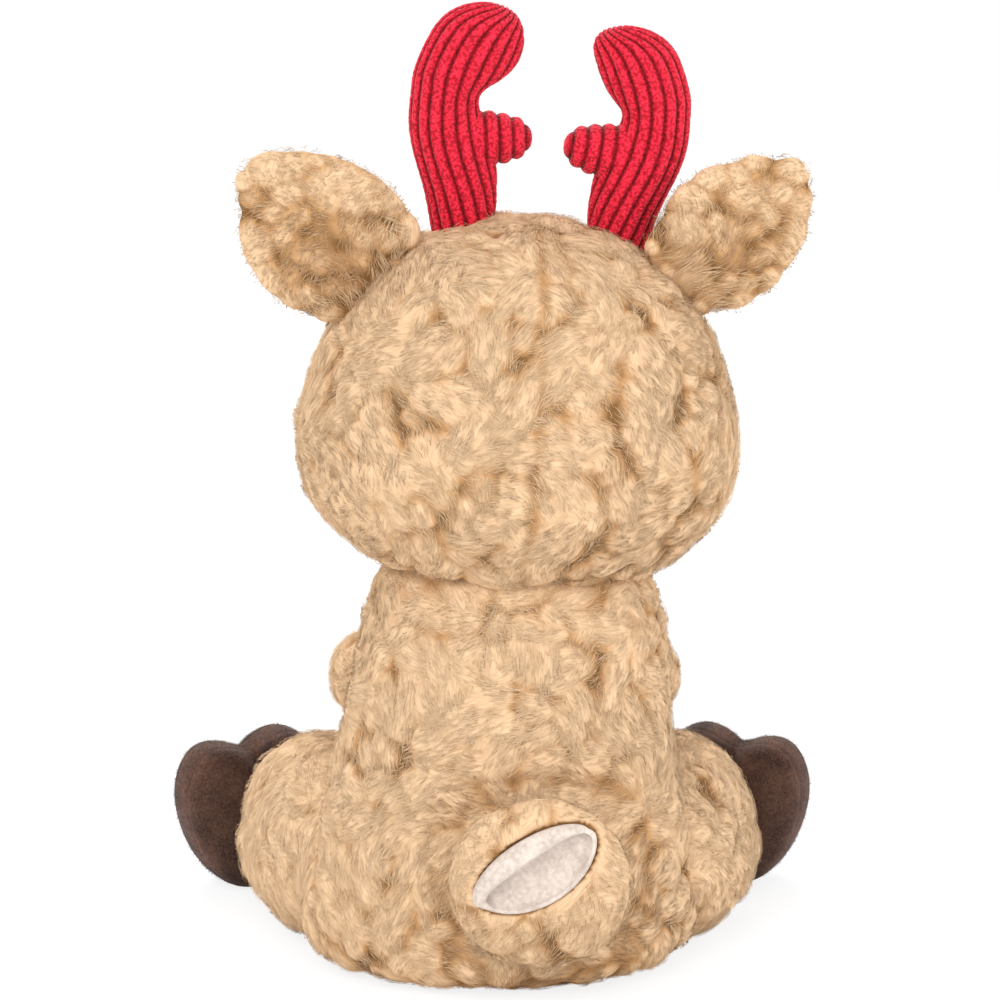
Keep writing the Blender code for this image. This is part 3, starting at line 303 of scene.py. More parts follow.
class Ovoid(Form):
    """An ellipsoid: a sine of the row gives each ring's size and a cosine its height."""

    def __init__(self, radii, turn=None, place=(0, 0, 0)):
        self.radii = np.array(radii, float)
        rows = np.zeros((9, 5))
        rows[:, 2] = np.linspace(-radii[2], radii[2], 9)
        super().__init__(rows, turn, place)

    def shrunk(self, across, deep=None):
        return Ovoid(self.radii - across, self.turn, self.place)

    def rings(self, v):
        angle = pi * v / self.last
        zero = np.zeros_like(v)
        wide = np.maximum(np.sin(angle), 0)
        return np.stack((zero, zero, -np.cos(angle) * self.radii[2], wide * self.radii[0],
                         wide * self.radii[1]), 1)

    def inside(self, points, margin=0.0):
        return ((self.local(points) / (self.radii + margin)) ** 2).sum(1) < 1


def control_rows(table, length, half_width, half_depth, shift=(0, 0, 0), lean=(0, 0, 0)):
    """Ring centres and half axes from a table of shares; the last share scales lean."""
    rise, wide, deep, moved = np.array(table).T[..., None]
    centre = np.array(shift) + np.array(lean) * moved + rise * np.array((0, 0, length))
    return np.hstack((centre, wide * half_width, deep * half_depth))


def on_head(point):
    """A point of the head's own frame in the frame of the whole toy."""
    return NECK + HEAD_TURN @ np.array(point, float)


def side_turns(side):
    """Turns of leg and arm that lay their own Z along the limb."""
    leg = turn_about(2, side * LEG_SPLAYS[side]) @ turn_about(0, pi / 2)
    arm = turn_about(2, side * ARM_TOE_IN) @ turn_about(0, pi / 2 + ARM_DROP)
    return leg, arm


def mirrored(place, side):
    return np.array((side * place[0], place[1], place[2]))


def all_forms():
    """Every stuffed form by name, as large as its pile reaches."""
    forms = {"torso": Form(control_rows(TORSO_ROWS, *TORSO, lean=(0, TORSO_BACK, 0)))}
    rows = control_rows(HEAD_ROWS, *HEAD, shift=(0, -HEAD_FORWARD, HEAD_BASE))
    forms["head"] = Form(rows, HEAD_TURN, NECK)
    for side, word in SIDES:
        leg, arm = side_turns(side)
        rows = control_rows(LEG_ROWS, LEG[0], LEG[1], LEG[1])
        forms[f"leg_{word}"] = Form(rows, leg, mirrored(HIP, side), LEG_SETTLE)
        rows = control_rows(ARM_ROWS, ARM[0], ARM[1], ARM[1])
        forms[f"arm_{word}"] = Form(rows, arm, mirrored(SHOULDER, side))
        wrist = mirrored(SHOULDER, side) + arm @ np.array((0, 0, ARM[0]))
        rows = control_rows(FORE_HOOF_ROWS, FORE_HOOF[0], FORE_HOOF[1], FORE_HOOF[1])
        forms[f"fore_hoof_{word}"] = Form(rows, arm, wrist)
        turn = HEAD_TURN @ turn_about(1, EAR_LEANS[side])
        length, half = EARS[side]
        rows = control_rows(EAR_ROWS, length, half, EAR_DEPTH, lean=(-side * half, 0, 0))
        across, rise = EAR_SHIFTS[side]
        forms[f"ear_{word}"] = Form(rows, turn, on_head(mirrored(EAR_PLACE, side)) + (across, 0, rise))
        turn = HEAD_TURN @ turn_about(1, ANTLER_LEAN)
        place = on_head(mirrored(ANTLER_PLACE, side) - np.array((ANTLER_ASIDE, 0, 0)))
        lean = (side * ANTLER[0], 0, 0)
        rows = control_rows(ANTLER_ROWS, ANTLER_LENGTHS[side], *ANTLER, lean=lean)
        rows[8:10, 3] += ANTLER_HOOKS[side] / 2
        rows[8:10, 0] -= side * ANTLER_HOOKS[side] / 2
        forms[f"antler_{word}"] = Form(rows, turn, place)
        across, rise = BRANCH_PLACE
        start = place + turn @ np.array((side * across * ANTLER[0], 0, rise * ANTLER_LENGTHS[side]))
        rows = control_rows(BRANCH_ROWS, BRANCH[0], BRANCH[1], BRANCH[1])
        forms[f"branch_{word}"] = Form(rows, turn @ turn_about(1, -side * BRANCH_TILT), start)
    forms["tail"] = Ovoid(TAIL_RADII, place=TAIL + np.array((0, TAIL_OFF, 0)))
    forms["muzzle"] = Ovoid(MUZZLE_RADII, HEAD_TURN, on_head(MUZZLE_PLACE))
    across, rise = LINING_PLACE
    middle = TAIL + np.array((across * TAIL_RADII[0], TAIL_OFF + TAIL_RADII[1], rise * TAIL_RADII[2]))
    forms["cup"] = Ovoid((LINING[0], LINING[1] * 1.9, LINING[2]), turn_about(1, LINING_TILT), middle)
    return forms


FORMS = all_forms()


def new_mesh(name, points, corners, starts, uv=None, values=None):
    """A mesh object from whole arrays: corners holds each face's points in turn, starts where they begin."""
    mesh = bpy.data.meshes.new(name)
    mesh.vertices.add(len(points))
    mesh.vertices.foreach_set("co", np.ascontiguousarray(points, np.float32).ravel())
    mesh.loops.add(len(corners))
    mesh.loops.foreach_set("vertex_index", np.ascontiguousarray(corners, np.int32))
    mesh.polygons.add(len(starts))
    mesh.polygons.foreach_set("loop_start", np.ascontiguousarray(starts, np.int32))
    mesh.update(calc_edges=True)
    if uv is not None:
        layer = mesh.uv_layers.new(name="OFBake")
        layer.uv.foreach_set("vector", np.ascontiguousarray(uv, np.float32).ravel())
    for key, numbers in (values or {}).items():
        mesh.attributes.new(key, "FLOAT", "POINT").data.foreach_set("value", numbers.astype(np.float32))
    mesh.shade_smooth()
    thing = bpy.data.objects.new(name, mesh)
    bpy.context.scene.collection.objects.link(thing)
    return thing


def closed_grid(name, ends, grid, values=None):
    """A closed surface: rings of points, with a pole at each end, outward by (around) x (along)."""
    rows, count = grid.shape[:2]
    points = np.vstack((ends[:1], grid.reshape(-1, 3), ends[1:]))
    i, j = np.meshgrid(np.arange(rows - 1), np.arange(count), indexing="ij")
    here, there = 1 + i * count + j, 1 + i * count + (j + 1) % count
    quads = np.stack((here, there, there + count, here + count), -1).reshape(-1, 4)
    j = np.arange(count)
    after = (j + 1) % count
    low = np.stack((np.zeros_like(j), 1 + after, 1 + j), 1)
    base = 1 + (rows - 1) * count
    high = np.stack((base + j, base + after, np.full_like(j, base + count)), 1)
    corners = np.concatenate((quads.ravel(), low.ravel(), high.ravel()))
    starts = np.concatenate((np.arange(len(quads)) * 4, len(quads) * 4 + np.arange(2 * count) * 3))
    u, v = j / count, (np.arange(rows) + 1) / (rows + 1)
    ahead = u + 1 / count
    i, k = np.meshgrid(np.arange(rows - 1), j, indexing="ij")
    face = np.stack((u[k], v[i], ahead[k], v[i], ahead[k], v[i + 1], u[k], v[i + 1]), -1).reshape(-1)
    zero, one = np.zeros(count), np.ones(count)
    low = np.stack((u + 0.5 / count, zero, ahead, v[0] * one, u, v[0] * one), 1).ravel()
    high = np.stack((u, v[-1] * one, ahead, v[-1] * one, u + 0.5 / count, one), 1).ravel()
    uv = np.concatenate((face, low, high)) * 0.98 + 0.01
    full = {key: np.concatenate(((a[0].mean(),), a.ravel(), (a[-1].mean(),)))
            for key, a in (values or {}).items()}
    return new_mesh(name, points, corners, starts, uv, full)


def form_grid(form, rows, count):
    """Points, normals and places of a form's rings between its two poles."""
    v = np.linspace(0, form.last, rows + 2)[1:-1]
    u = np.arange(count) * 2 * pi / count
    uu, vv = np.meshgrid(u, v)
    flat = uu.ravel(), vv.ravel()
    shape = (rows, count, 3)
    return form.points(*flat).reshape(shape), form.normals(*flat).reshape(shape), uu, vv


def waves(points, rng, size, count=24):
    """Smooth random heights from -1 to 1: the mean of sines along random directions, about size apart."""
    ways = unit(rng.normal(size=(count, 3))) * rng.uniform(0.6, 1.6, (count, 1)) * 2 * pi / size
    phase = rng.uniform(0, 2 * pi, count)
    return np.sin(points @ ways.T + phase).mean(-1) * 2.2


class Tufts:
    """Patches of pile that lie together, as the upper envelope of bumps that are longer behind than ahead.

    Bump i has the height tall (1 - (q / wide)^2 - (p / long)^2) at p along and q across its own way, with
    long as ahead or behind. The ways drift slowly over the form, and each patch turns a little from them.
    """

    def __init__(self, form, size, tall, rng, low=0.05, down=0.3):
        u, v = form.scatter(size, rng, low)
        normal = form.normals(u, v)
        count = len(u)
        self.seeds = form.points(u, v) + rng.normal(0, 0.2 * size, (count, 3))
        drift = np.stack([waves(self.seeds, rng, 0.05, 12) for _ in range(3)], 1)
        ways = unit(unit(drift) + 0.6 * unit(rng.normal(size=(count, 3))))
        self.ways = flattened(flattened(ways, normal) - (0, 0, down), normal)
        self.wide = size * rng.uniform(0.50, 1.15, count)
        self.behind = self.wide * rng.uniform(1.4, 2.4, count)
        self.ahead = self.wide * rng.uniform(0.7, 1.0, count)
        self.tall = tall * rng.uniform(0.70, 1.12, count)
        self.full = tall
        self.shade = rng.normal(0, 0.05, count)

    def at(self, points):
        """Which patch lies on top at each point, and how high it stands."""
        own, height = [], []
        for part in np.array_split(points, max(1, len(points) // 6000)):
            along = part @ self.ways.T - (self.seeds * self.ways).sum(1)
            far = (part**2).sum(1)[:, None] + (self.seeds**2).sum(1) - 2 * part @ self.seeds.T
            stretch = np.where(along > 0, self.ahead, self.behind)
            bumps = self.tall * (1 - (far - along**2) / self.wide**2 - (along / stretch) ** 2)
            best = bumps.argmax(1)
            own.append(best)
            height.append(bumps[np.arange(len(part)), best])
        return np.concatenate(own), np.maximum(np.concatenate(height), -0.12 * self.full)

    def slope(self, points, normal):
        """Normals of the patched surface, from the heights a small step away."""
        first = unit(np.cross(normal, np.array((0.31, 0.52, 0.79))))
        second = np.cross(normal, first)
        step = 0.4 * MILLI
        rise = [(self.at(points + way * step)[1] - self.at(points - way * step)[1]) / (2 * step)
                for way in (first, second)]
        return unit(normal - first * rise[0][:, None] - second * rise[1][:, None])


def undercoat(name, body, solid, form, tufts, rng, rows, count, fill=0.8, lumps=0.5 * MILLI,
              fade=None, shade=None, press=None):
    """The cloth and matted pile under the tips: the form's own surface, raised patch by patch.

    Each point keeps how high its patch is, less any shade, and its place across and ahead in its patch.
    """
    grid, normal, _, _ = form_grid(form, rows, count)
    out = waves(grid, rng, 0.009) * lumps * 0.5
    flat = grid.reshape(-1, 3)
    own, high = tufts.at(flat)
    apart, way = flat - tufts.seeds[own], tufts.ways[own]
    values = {"across": (apart * np.cross(normal.reshape(-1, 3), way)).sum(1), "ahead": (apart * way).sum(1)}
    if fade is not None:
        high = high * fade(flat)
    values["lift"] = high / tufts.full - (0 if shade is None else shade(flat))
    out = out + high.reshape(out.shape) * 0.98 - 0.1 * MILLI
    grid = settled(grid + normal * out[..., None])
    if press is not None:
        grid = press(grid)
    values = {key: numbers.reshape(out.shape) for key, numbers in values.items()}
    skin = closed_grid(f"{name}_backing", settled(form.ends()), grid, values)
    place_piece(skin, body, "undercoat", "long_pile", solid, fill=fill)


def strands(name, root, middle, tip, normal, half_width, tone, soft=0.6):
    """Closed three-sided hairs that swell at their bend: 5 points and 6 triangles each.

    A corner of the ring is half_width (cos f e1 + HAIR_FLAT sin f e2), with e1 across the hair and e2 off
    the cloth. The two upper sides take shading normals near the cloth's, by the share soft, as fine pile
    scatters light; the underside keeps its own.
    """
    count = len(root)
    way = unit(tip - root)
    e1 = unit(np.cross(normal, way))
    e2 = np.cross(way, e1)
    angles = np.radians((90, 210, 330))
    c, s = np.cos(angles)[None, :, None], HAIR_FLAT * np.sin(angles)[None, :, None]
    ring = c * e1[:, None] + s * e2[:, None]
    ring = middle[:, None] + ring * half_width[:, None, None]
    points = settled(np.concatenate((root[:, None], ring, tip[:, None]), 1))
    pattern = np.array((0, 2, 1, 0, 3, 2, 0, 1, 3, 1, 2, 4, 2, 3, 4, 3, 1, 4))
    corners = (np.arange(count)[:, None] * 5 + pattern).ravel()
    starts = np.arange(count * 6) * 3
    sideways = np.array((0, -1, 0, 1, 0)) * 0.004
    along = np.array((0, 0.5, 0.5, 0.5, 1.0))
    u = np.clip(tone, 0.01, 0.99)[:, None] * 0.98 + 0.01 + sideways[pattern]
    uv = np.stack((u, np.broadcast_to(along[pattern] * 0.98 + 0.01, u.shape)), -1).reshape(-1, 2)
    values = {"along": np.tile(along, count), "tone": np.repeat(tone, 5)}
    thing = new_mesh(name, points.reshape(-1, 3), corners, starts, uv, values)
    upper = unit(soft * normal + (1 - soft) * e2)
    kinds = (upper, unit(upper - 0.4 * e1), unit(upper + 0.4 * e1), unit(upper + 0.3 * way), -e2)
    kinds = np.stack(kinds, 1)
    shading = kinds[:, (0, 1, 0, 4, 4, 4, 0, 0, 2, 0, 1, 3, 4, 4, 4, 2, 0, 3)]
    layer = thing.data.attributes.new("custom_normal", "FLOAT_VECTOR", "CORNER")
    layer.data.foreach_set("vector", shading.astype(np.float32).ravel())
    return thing


def grow(name, body, form, tufts, rng, height, reach, keep=None, comb=None, shape=None, low=0.05, parts=1,
         spacing=2.3 * MILLI, down=0.10):
    """Locks of hair that lie on the patches of a form, each lock along the way of its patch.

    A hair rises to 0.85 of its height by its middle and lies over to its tip, which is drawn towards the
    lock's own tip and follows the form's bend.
    """
    u, v = form.scatter(spacing, rng, low)
    place, normal = form.points(u, v), form.normals(u, v)
    if keep is not None:
        kept = keep(place)
        place, normal, u, v = place[kept], normal[kept], u[kept], v[kept]
    own, lift = tufts.at(place)
    lie = tufts.slope(place, normal)
    way = tufts.ways[own] + rng.normal(0, 0.20, place.shape)
    if comb is not None:
        way = (1 - down) * way + down * comb(place)
    way = flattened(way, normal)
    lie = unit(0.45 * lie + 0.55 * normal)
    rise = np.clip(lift / tufts.full, 0, 1)
    tall = rng.uniform(0.80, 1.15, len(place)) * (0.85 + 0.25 * rise)
    # Hairs low on their patch get painted shade, as in the creases between patches
    tone = 0.60 + tufts.shade[own] + rng.normal(0, 0.06, len(place)) - 0.42 * (1 - rise) ** 1.6
    scale = np.ones(len(place))
    if shape is not None:
        scale, shade = shape(place, v)
        tone = tone + shade
    height, reach = height * tall * scale, reach * tall * scale
    fall = form.slide(u, v, way, reach) - place - way * reach[:, None]
    fall *= np.minimum(1, 0.7 * reach / np.maximum(np.linalg.norm(fall, axis=1), 1e-9))[:, None]
    on_way = [place + way * (share * reach)[:, None] + fall * share**2 for share in (0.42, 1.0)]
    rises = [normal * ((tufts.at(spots)[1] - lift) * np.minimum(scale, 1))[:, None] for spots in on_way]
    place = place + normal * (lift * np.minimum(scale, 1))[:, None]
    n, k = len(place), HAIRS
    across = unit(np.cross(normal, way))
    spot = rng.normal(size=(n, k, 2)) * spacing * 0.44
    offset = spot[..., :1] * across[:, None] + spot[..., 1:] * way[:, None]
    stray = rng.random((n, k)) < 0.012
    own_height = height[:, None] * rng.uniform(0.55, 1.10, (n, k)) * np.where(stray, 1.5, 1)
    own_reach = reach[:, None] * rng.uniform(0.70, 1.20, (n, k)) * np.where(stray, 0.8, 1)
    root = place[:, None] + offset - normal[:, None] * 0.6 * MILLI
    bend = rng.normal(0, 0.09, (n, k, 1)) * across[:, None] * reach[:, None, None]
    middle = root + normal[:, None] * (0.85 * own_height + 0.4 * MILLI)[..., None] + bend
    middle = middle + way[:, None] * (0.42 * own_reach)[..., None] + (0.17 * fall + rises[0])[:, None]
    pull = np.where(stray, 0.0, rng.uniform(0.15, 0.60, (n, k)))[..., None]
    tip = root - pull * offset + normal[:, None] * (own_height + 0.3 * MILLI)[..., None]
    tip = tip + way[:, None] * own_reach[..., None] + (fall + rises[1])[:, None]
    width = HAIR_WIDTH * rng.uniform(0.8, 1.2, (n, k)) * np.where(stray, 0.6, 1)
    tone = np.clip(tone[:, None] + rng.normal(0, 0.04, (n, k)), 0.02, 0.98)
    normals = np.broadcast_to(lie[:, None], root.shape)
    flat = [a.reshape(-1, 3) for a in (root, middle, tip, normals)] + [width.ravel(), tone.ravel()]
    turn = np.repeat(np.argsort(np.argsort((u - pi / 2 + pi / parts) % (2 * pi))), k)
    for part in range(parts):
        mine = (turn >= part * n / parts) & (turn < (part + 1) * n / parts)
        word = f"{name}_pile" if parts == 1 else f"{name}_pile_{part + 1}"
        place_piece(strands(word, *(a[mine] for a in flat), soft=0.75), body, "fur", "long_pile")


# Materials


def feed(tree, socket, value):
    """Links a socket, or sets it to a number or a colour."""
    if isinstance(value, bpy.types.NodeSocket):
        tree.links.new(value, socket)
    else:
        socket.default_value = (*value, 1.0) if isinstance(value, tuple) else value


def node(tree, kind, place, inputs=None, **settings):
    """A node with its settings, and its inputs set or linked."""
    made = tree.nodes.new(kind)
    made.location = place
    for key, value in settings.items():
        setattr(made, key, value)
    for key, value in (inputs or {}).items():
        feed(tree, made.inputs[key], value)
    return made


def read_value(tree, name, place):
    return node(tree, "ShaderNodeAttribute", place, attribute_name=name).outputs["Fac"]


def ramp(tree, value, stops, place):
    made = node(tree, "ShaderNodeValToRGB", place, {"Fac": value})
    elements = made.color_ramp.elements
    while len(elements) < len(stops):
        elements.new(0.5)
    for element, (at, colour) in zip(elements, stops):
        element.position = at
        element.color = (*colour, 1.0)
    return made.outputs["Color"]


def mix(tree, kind, factor, first, second, place):
    inputs = {0: factor, 6: first, 7: second}
    return node(tree, "ShaderNodeMix", place, inputs, data_type="RGBA", blend_type=kind).outputs[2]


def bump(tree, height, strength, distance):
    """Normals of a rough surface; a negative strength turns the heights over."""
    inputs = {"Height": height, "Strength": abs(strength), "Distance": distance}
    return node(tree, "ShaderNodeBump", (-300, -200), inputs, invert=strength < 0).outputs["Normal"]


def texture(tree, kind, place, inputs, **settings):
    """A texture in Object coordinates."""
    spots = node(tree, "ShaderNodeTexCoord", (place[0] - 200, place[1])).outputs["Object"]
    return node(tree, kind, place, {"Vector": spots, **inputs}, **settings)


def new_material(name):
    material = bpy.data.materials.new(name)
    material.use_nodes = True
    return material, material.node_tree


def finished(material, inputs):
    """Feeds the material's shader."""
    shader = material.node_tree.nodes["Principled BSDF"]
    for key, value in inputs.items():
        feed(material.node_tree, shader.inputs[key], value)
    return material


def new_group(name, inputs, outputs):
    """An empty node group; inputs and outputs map names to kinds."""
    tree = bpy.data.node_groups.new(name, "ShaderNodeTree")
    for way, sockets in (("INPUT", inputs), ("OUTPUT", outputs)):
        for key, kind in sockets.items():
            tree.interface.new_socket(key, in_out=way, socket_type=f"NodeSocket{kind}")
    return tree, node(tree, "NodeGroupInput", (-900, 0)).outputs


def hair_group():
    """Colour of a hair: dark at its root, pale at its tip, and darker or warmer where its tone is low."""
    kinds = {"Root": "Color", "Middle": "Color", "Tip": "Color", "Spread": "Float"}
    tree, given = new_group("hair colour", kinds, {"Color": "Color"})
    along, tone = read_value(tree, "along", (-900, 300)), read_value(tree, "tone", (-900, -300))
    low = node(tree, "ShaderNodeMapRange", (-650, 300), {"Value": along, "From Max": 0.55},
               interpolation_type="SMOOTHSTEP")
    high = node(tree, "ShaderNodeMapRange", (-650, 100), {"Value": along, "From Min": 0.45})
    under = mix(tree, "MIX", low.outputs["Result"], given["Root"], given["Middle"], (-400, 200))
    full = mix(tree, "MIX", high.outputs["Result"], under, given["Tip"], (-200, 200))
    shade = ramp(tree, tone, ((0.0, (0.56, 0.43, 0.31)), (0.5, (0.93, 0.90, 0.86)), (1.0, (1.0, 1.0, 1.0))),
                 (-400, -200))
    tinted = mix(tree, "MULTIPLY", given["Spread"], full, shade, (100, 0))
    node(tree, "NodeGroupOutput", (500, 0), {"Color": tinted})
    return tree


def hair_material(name, group, root, middle, tip, spread=1.0):
    material, tree = new_material(name)
    inputs = {"Root": linear(*root), "Middle": linear(*middle), "Tip": linear(*tip), "Spread": spread}
    colour = node(tree, "ShaderNodeGroup", (-300, 200), node_tree=group)
    for key, value in inputs.items():
        feed(tree, colour.inputs[key], value)
    return finished(material, {
        "Roughness": 0.85, "Base Color": colour.outputs["Color"], "Specular IOR Level": 0.05})


def nap_group():
    """Short nap: two sizes of noise give a height and a mask for streaks of lighter pile."""
    tree, given = new_group("short nap", {"Scale": "Float"}, {"Height": "Float", "Streaks": "Float"})
    inputs = {"Scale": given["Scale"], "Detail": 3.0}
    fine = texture(tree, "ShaderNodeTexNoise", (-400, 200), inputs).outputs["Fac"]
    broad = texture(tree, "ShaderNodeTexNoise", (-400, -100), {"Scale": 110.0}).outputs["Fac"]
    half = node(tree, "ShaderNodeMath", (-200, -100), {0: broad, 1: 0.45}, operation="MULTIPLY")
    inputs = {0: fine, 1: 0.55, 2: half.outputs["Value"]}
    both = node(tree, "ShaderNodeMath", (0, 0), inputs, operation="MULTIPLY_ADD")
    node(tree, "NodeGroupOutput", (400, 0), {"Height": fine, "Streaks": both.outputs["Value"]})
    return tree


def nap_material(name, group, dark, pale, scale=900.0, rough=0.8, sheen=0.4, strength=0.35):
    """Short pile or cloth: two colours by the nap, lighter where the attribute "rim" is high."""
    material, tree = new_material(name)
    nap = node(tree, "ShaderNodeGroup", (-700, 0), node_tree=group)
    feed(tree, nap.inputs["Scale"], scale)
    colour = ramp(tree, nap.outputs["Streaks"], ((0.36, linear(*dark)), (0.64, linear(*pale))), (-500, 200))
    rim_highlight = read_value(tree, "rim_highlight", (-500, 400))
    # Up to 1.45 times lighter where the rim value is 1: a painted highlight
    return finished(material, {
        "Base Color": mix(tree, "MULTIPLY", rim_highlight, colour, (1.45, 1.32, 1.27), (-200, 200)),
        "Normal": bump(tree, nap.outputs["Height"], strength, 0.4 * MILLI), "Roughness": rough,
        "Sheen Weight": sheen, "Sheen Roughness": 0.5, "Specular IOR Level": 0.2})


def matted_material(low, high):
    """Matted pile under the tips: darker where it lies deep, with fibres along each patch's way."""
    material, tree = new_material("matted pile")
    # At a lift of 0 the root colour is about halved: painted shade in the creases
    deep, top = np.array(linear(*low)) * (0.48, 0.44, 0.37), np.array(linear(*high)) * (1.03, 1.04, 1.06)
    depth = ramp(tree, read_value(tree, "lift", (-900, 300)), (
        (0.0, tuple(deep)), (0.30, linear(*low)), (0.60, linear(*high)), (0.95, tuple(top))), (-600, 300))
    parts = [node(tree, "ShaderNodeMath", (-1100, y), {0: read_value(tree, key, (-1300, y)), 1: scale},
                  operation="MULTIPLY").outputs["Value"]
             for key, scale, y in (("across", 1800.0, 0), ("ahead", 190.0, -200))]
    spots = node(tree, "ShaderNodeCombineXYZ", (-900, 0), dict(enumerate(parts))).outputs["Vector"]
    inputs = {"Vector": spots, "Scale": 1.0, "Detail": 3.0}
    fibres = node(tree, "ShaderNodeTexNoise", (-700, 0), inputs).outputs["Fac"]
    streaks = ramp(tree, fibres, ((0.30, (0.68, 0.59, 0.50)), (0.62, (1.0, 1.0, 1.0))), (-500, 0))
    return finished(material, {
        "Roughness": 0.95, "Base Color": mix(tree, "MULTIPLY", 0.80, depth, streaks, (-200, 200)),
        "Normal": bump(tree, fibres, 0.35, 0.5 * MILLI), "Specular IOR Level": 0.05})


def corduroy_material(group, crest, groove):
    """Corduroy: the rib value darkens the grooves, and a fine squiggle the cut pile on the crests."""
    material, tree = new_material("red corduroy")
    rib = read_value(tree, "rib", (-900, 300))
    base = ramp(tree, rib, (
        (0.0, linear(*groove)), (0.40, linear(146, 8, 26)), (0.80, linear(*crest))), (-600, 300))
    nap = node(tree, "ShaderNodeGroup", (-900, 0), node_tree=group)
    feed(tree, nap.inputs["Scale"], 1500.0)
    loops = texture(tree, "ShaderNodeTexVoronoi", (-900, -200), {"Scale": 1250.0}, feature="SMOOTH_F1")
    stops = (0.22, (1.35, 1.5, 1.5)), (0.60, (0.56, 0.27, 0.34))
    dots = ramp(tree, loops.outputs["Distance"], stops, (-600, -100))
    spotted = mix(tree, "MULTIPLY", 0.9, base, dots, (-300, 200))
    stops = (0.3, (0.84, 0.76, 0.78)), (0.7, (1.1, 1.15, 1.15))
    streaks = ramp(tree, nap.outputs["Streaks"], stops, (-600, 80))
    return finished(material, {
        "Roughness": 0.85, "Base Color": mix(tree, "MULTIPLY", 0.6, spotted, streaks, (-120, 200)),
        "Normal": bump(tree, loops.outputs["Distance"], -0.9, 0.6 * MILLI), "Sheen Weight": 0.08,
        "Specular IOR Level": 0.15})


def grained_material(name, rough, kind, scale, *stops):
    """A hard or sewn surface: two colours by a texture."""
    material, tree = new_material(name)
    grain = texture(tree, f"ShaderNodeTex{kind}", (-500, 0), {"Scale": scale}).outputs["Fac"]
    colour = ramp(tree, grain, [(at, linear(*shade)) for at, shade in stops], (-300, 0))
    return finished(material, {"Roughness": rough, "Base Color": colour})


# Properties


class DeerPile(bpy.types.PropertyGroup):
    """Sizes of the long pile."""

    height: bpy.props.FloatProperty(
        name="Pile height", description="How far the tips stand off the matted pile",
        default=0.0010, min=0.0005, max=0.012, subtype="DISTANCE")
    relief: bpy.props.FloatProperty(
        name="Patch relief", description="How far the patches swell",
        default=0.0027, min=0.0, max=0.006, subtype="DISTANCE")
    patch: bpy.props.FloatProperty(
        name="Patch size", description="Distance of the patches that lie together",
        default=0.0083, min=0.004, max=0.03, subtype="DISTANCE")
    reach: bpy.props.FloatProperty(
        name="Pile reach", description="How far a hair's tip lies from its root",
        default=0.0052, min=0.0, max=0.015, subtype="DISTANCE")
    inset: bpy.props.FloatProperty(
        name="Cloth inset", description="Depth of the cloth below the tips",
        default=0.0044, min=0.001, max=0.008, subtype="DISTANCE")
    root: bpy.props.FloatVectorProperty(
        name="Root colour", description="Colour at the roots, from 0 to 255",
        default=(192, 150, 106), min=0, max=255, size=3)
    middle: bpy.props.FloatVectorProperty(
        name="Middle colour", description="Colour half way up, 0 to 255",
        default=(223, 190, 153), min=0, max=255, size=3)
    tip: bpy.props.FloatVectorProperty(
        name="Tip colour", description="Colour of the tips, from 0 to 255",
        default=(236, 209, 174), min=0, max=255, size=3)
    seed: bpy.props.IntProperty(
        name="Seed", description="Number that settles how the locks fall",
        default=4, min=0)


class DeerCloth(bpy.types.PropertyGroup):
    """Sizes and colours of the short cloths."""

    rib_pitch: bpy.props.FloatProperty(
        name="Rib pitch", description="Distance between corduroy ribs",
        default=0.0043, min=0.002, max=0.008, subtype="DISTANCE")
    rib_depth: bpy.props.FloatProperty(
        name="Rib depth", description="Depth of the grooves between ribs",
        default=0.0010, min=0.0, max=0.002, subtype="DISTANCE")
    crest: bpy.props.FloatVectorProperty(
        name="Crest colour", description="Corduroy on its ribs, 0 to 255",
        default=(218, 38, 60), min=0, max=255, size=3)
    # Groove colour: the corduroy darkened by painted shade between the ribs
    groove: bpy.props.FloatVectorProperty(
        name="Groove colour", description="Corduroy between ribs, 0 to 255",
        default=(96, 0, 12), min=0, max=255, size=3)


# Materials shared by the operators
LOOKS = {}


def make_looks():
    pile, cloth = bpy.context.scene.deer_pile, bpy.context.scene.deer_cloth
    hair, nap = hair_group(), nap_group()
    LOOKS.update({
        "fur": hair_material("long pile", hair, pile.root, pile.middle, pile.tip),
        "undercoat": matted_material(pile.root, pile.middle),
        "pale": nap_material("pale pile", nap, (214, 190, 160), (240, 222, 198)),
        "pale hair": hair_material(
            "pale pile hairs", hair, (206, 178, 146), (232, 210, 184), (246, 230, 208), 0.5),
        "white": nap_material("white pile", nap, (188, 174, 163), (222, 209, 198), 700.0),
        "brown": nap_material("brown pile", nap, (38, 23, 17), (86, 61, 49), 1300.0, 0.85, 0.08, 0.6),
        "brown hair": hair_material(
            "brown pile hairs", hair, (40, 25, 19), (74, 51, 40), (104, 75, 60), 0.6),
        "cord": corduroy_material(nap, cloth.crest, cloth.groove),
        "fibre": nap_material("fibre filling", nap, (206, 206, 202), (240, 240, 236), 300.0, 0.95, 0.1),
        "pouch": nap_material("pouch cloth", nap, (160, 155, 145), (196, 190, 178), 1400.0, 0.95, 0.0),
        "washer": nap_material(
            "washer plastic", nap, (196, 196, 192), (216, 216, 212), 400.0, 0.45, 0.0, 0.1),
        "nose": grained_material(
            "nose flock", 0.55, "Noise", 2200.0, (0.3, (52, 34, 28)), (0.7, (84, 60, 50))),
        "mouth": grained_material(
            "mouth thread", 0.6, "Wave", 900.0, (0.0, (66, 42, 34)), (1.0, (104, 72, 58))),
        "eye": grained_material("eye plastic", 0.06, "Noise", 120.0, (0.3, (8, 6, 6)), (0.7, (24, 16, 13))),
    })


def place_piece(thing, body, look, slot, *nodes, fill=None):
    """Gives a finished piece its material, body and slot, the solids it stands for and a pad's fill."""
    thing.data.materials.append(LOOKS[look])
    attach(thing, body)
    if nodes:
        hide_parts(*nodes)


def seeded(number):
    """The long pile's settings, and random numbers of one piece's own."""
    pile = bpy.context.scene.deer_pile
    return pile, np.random.default_rng(pile.seed + number)


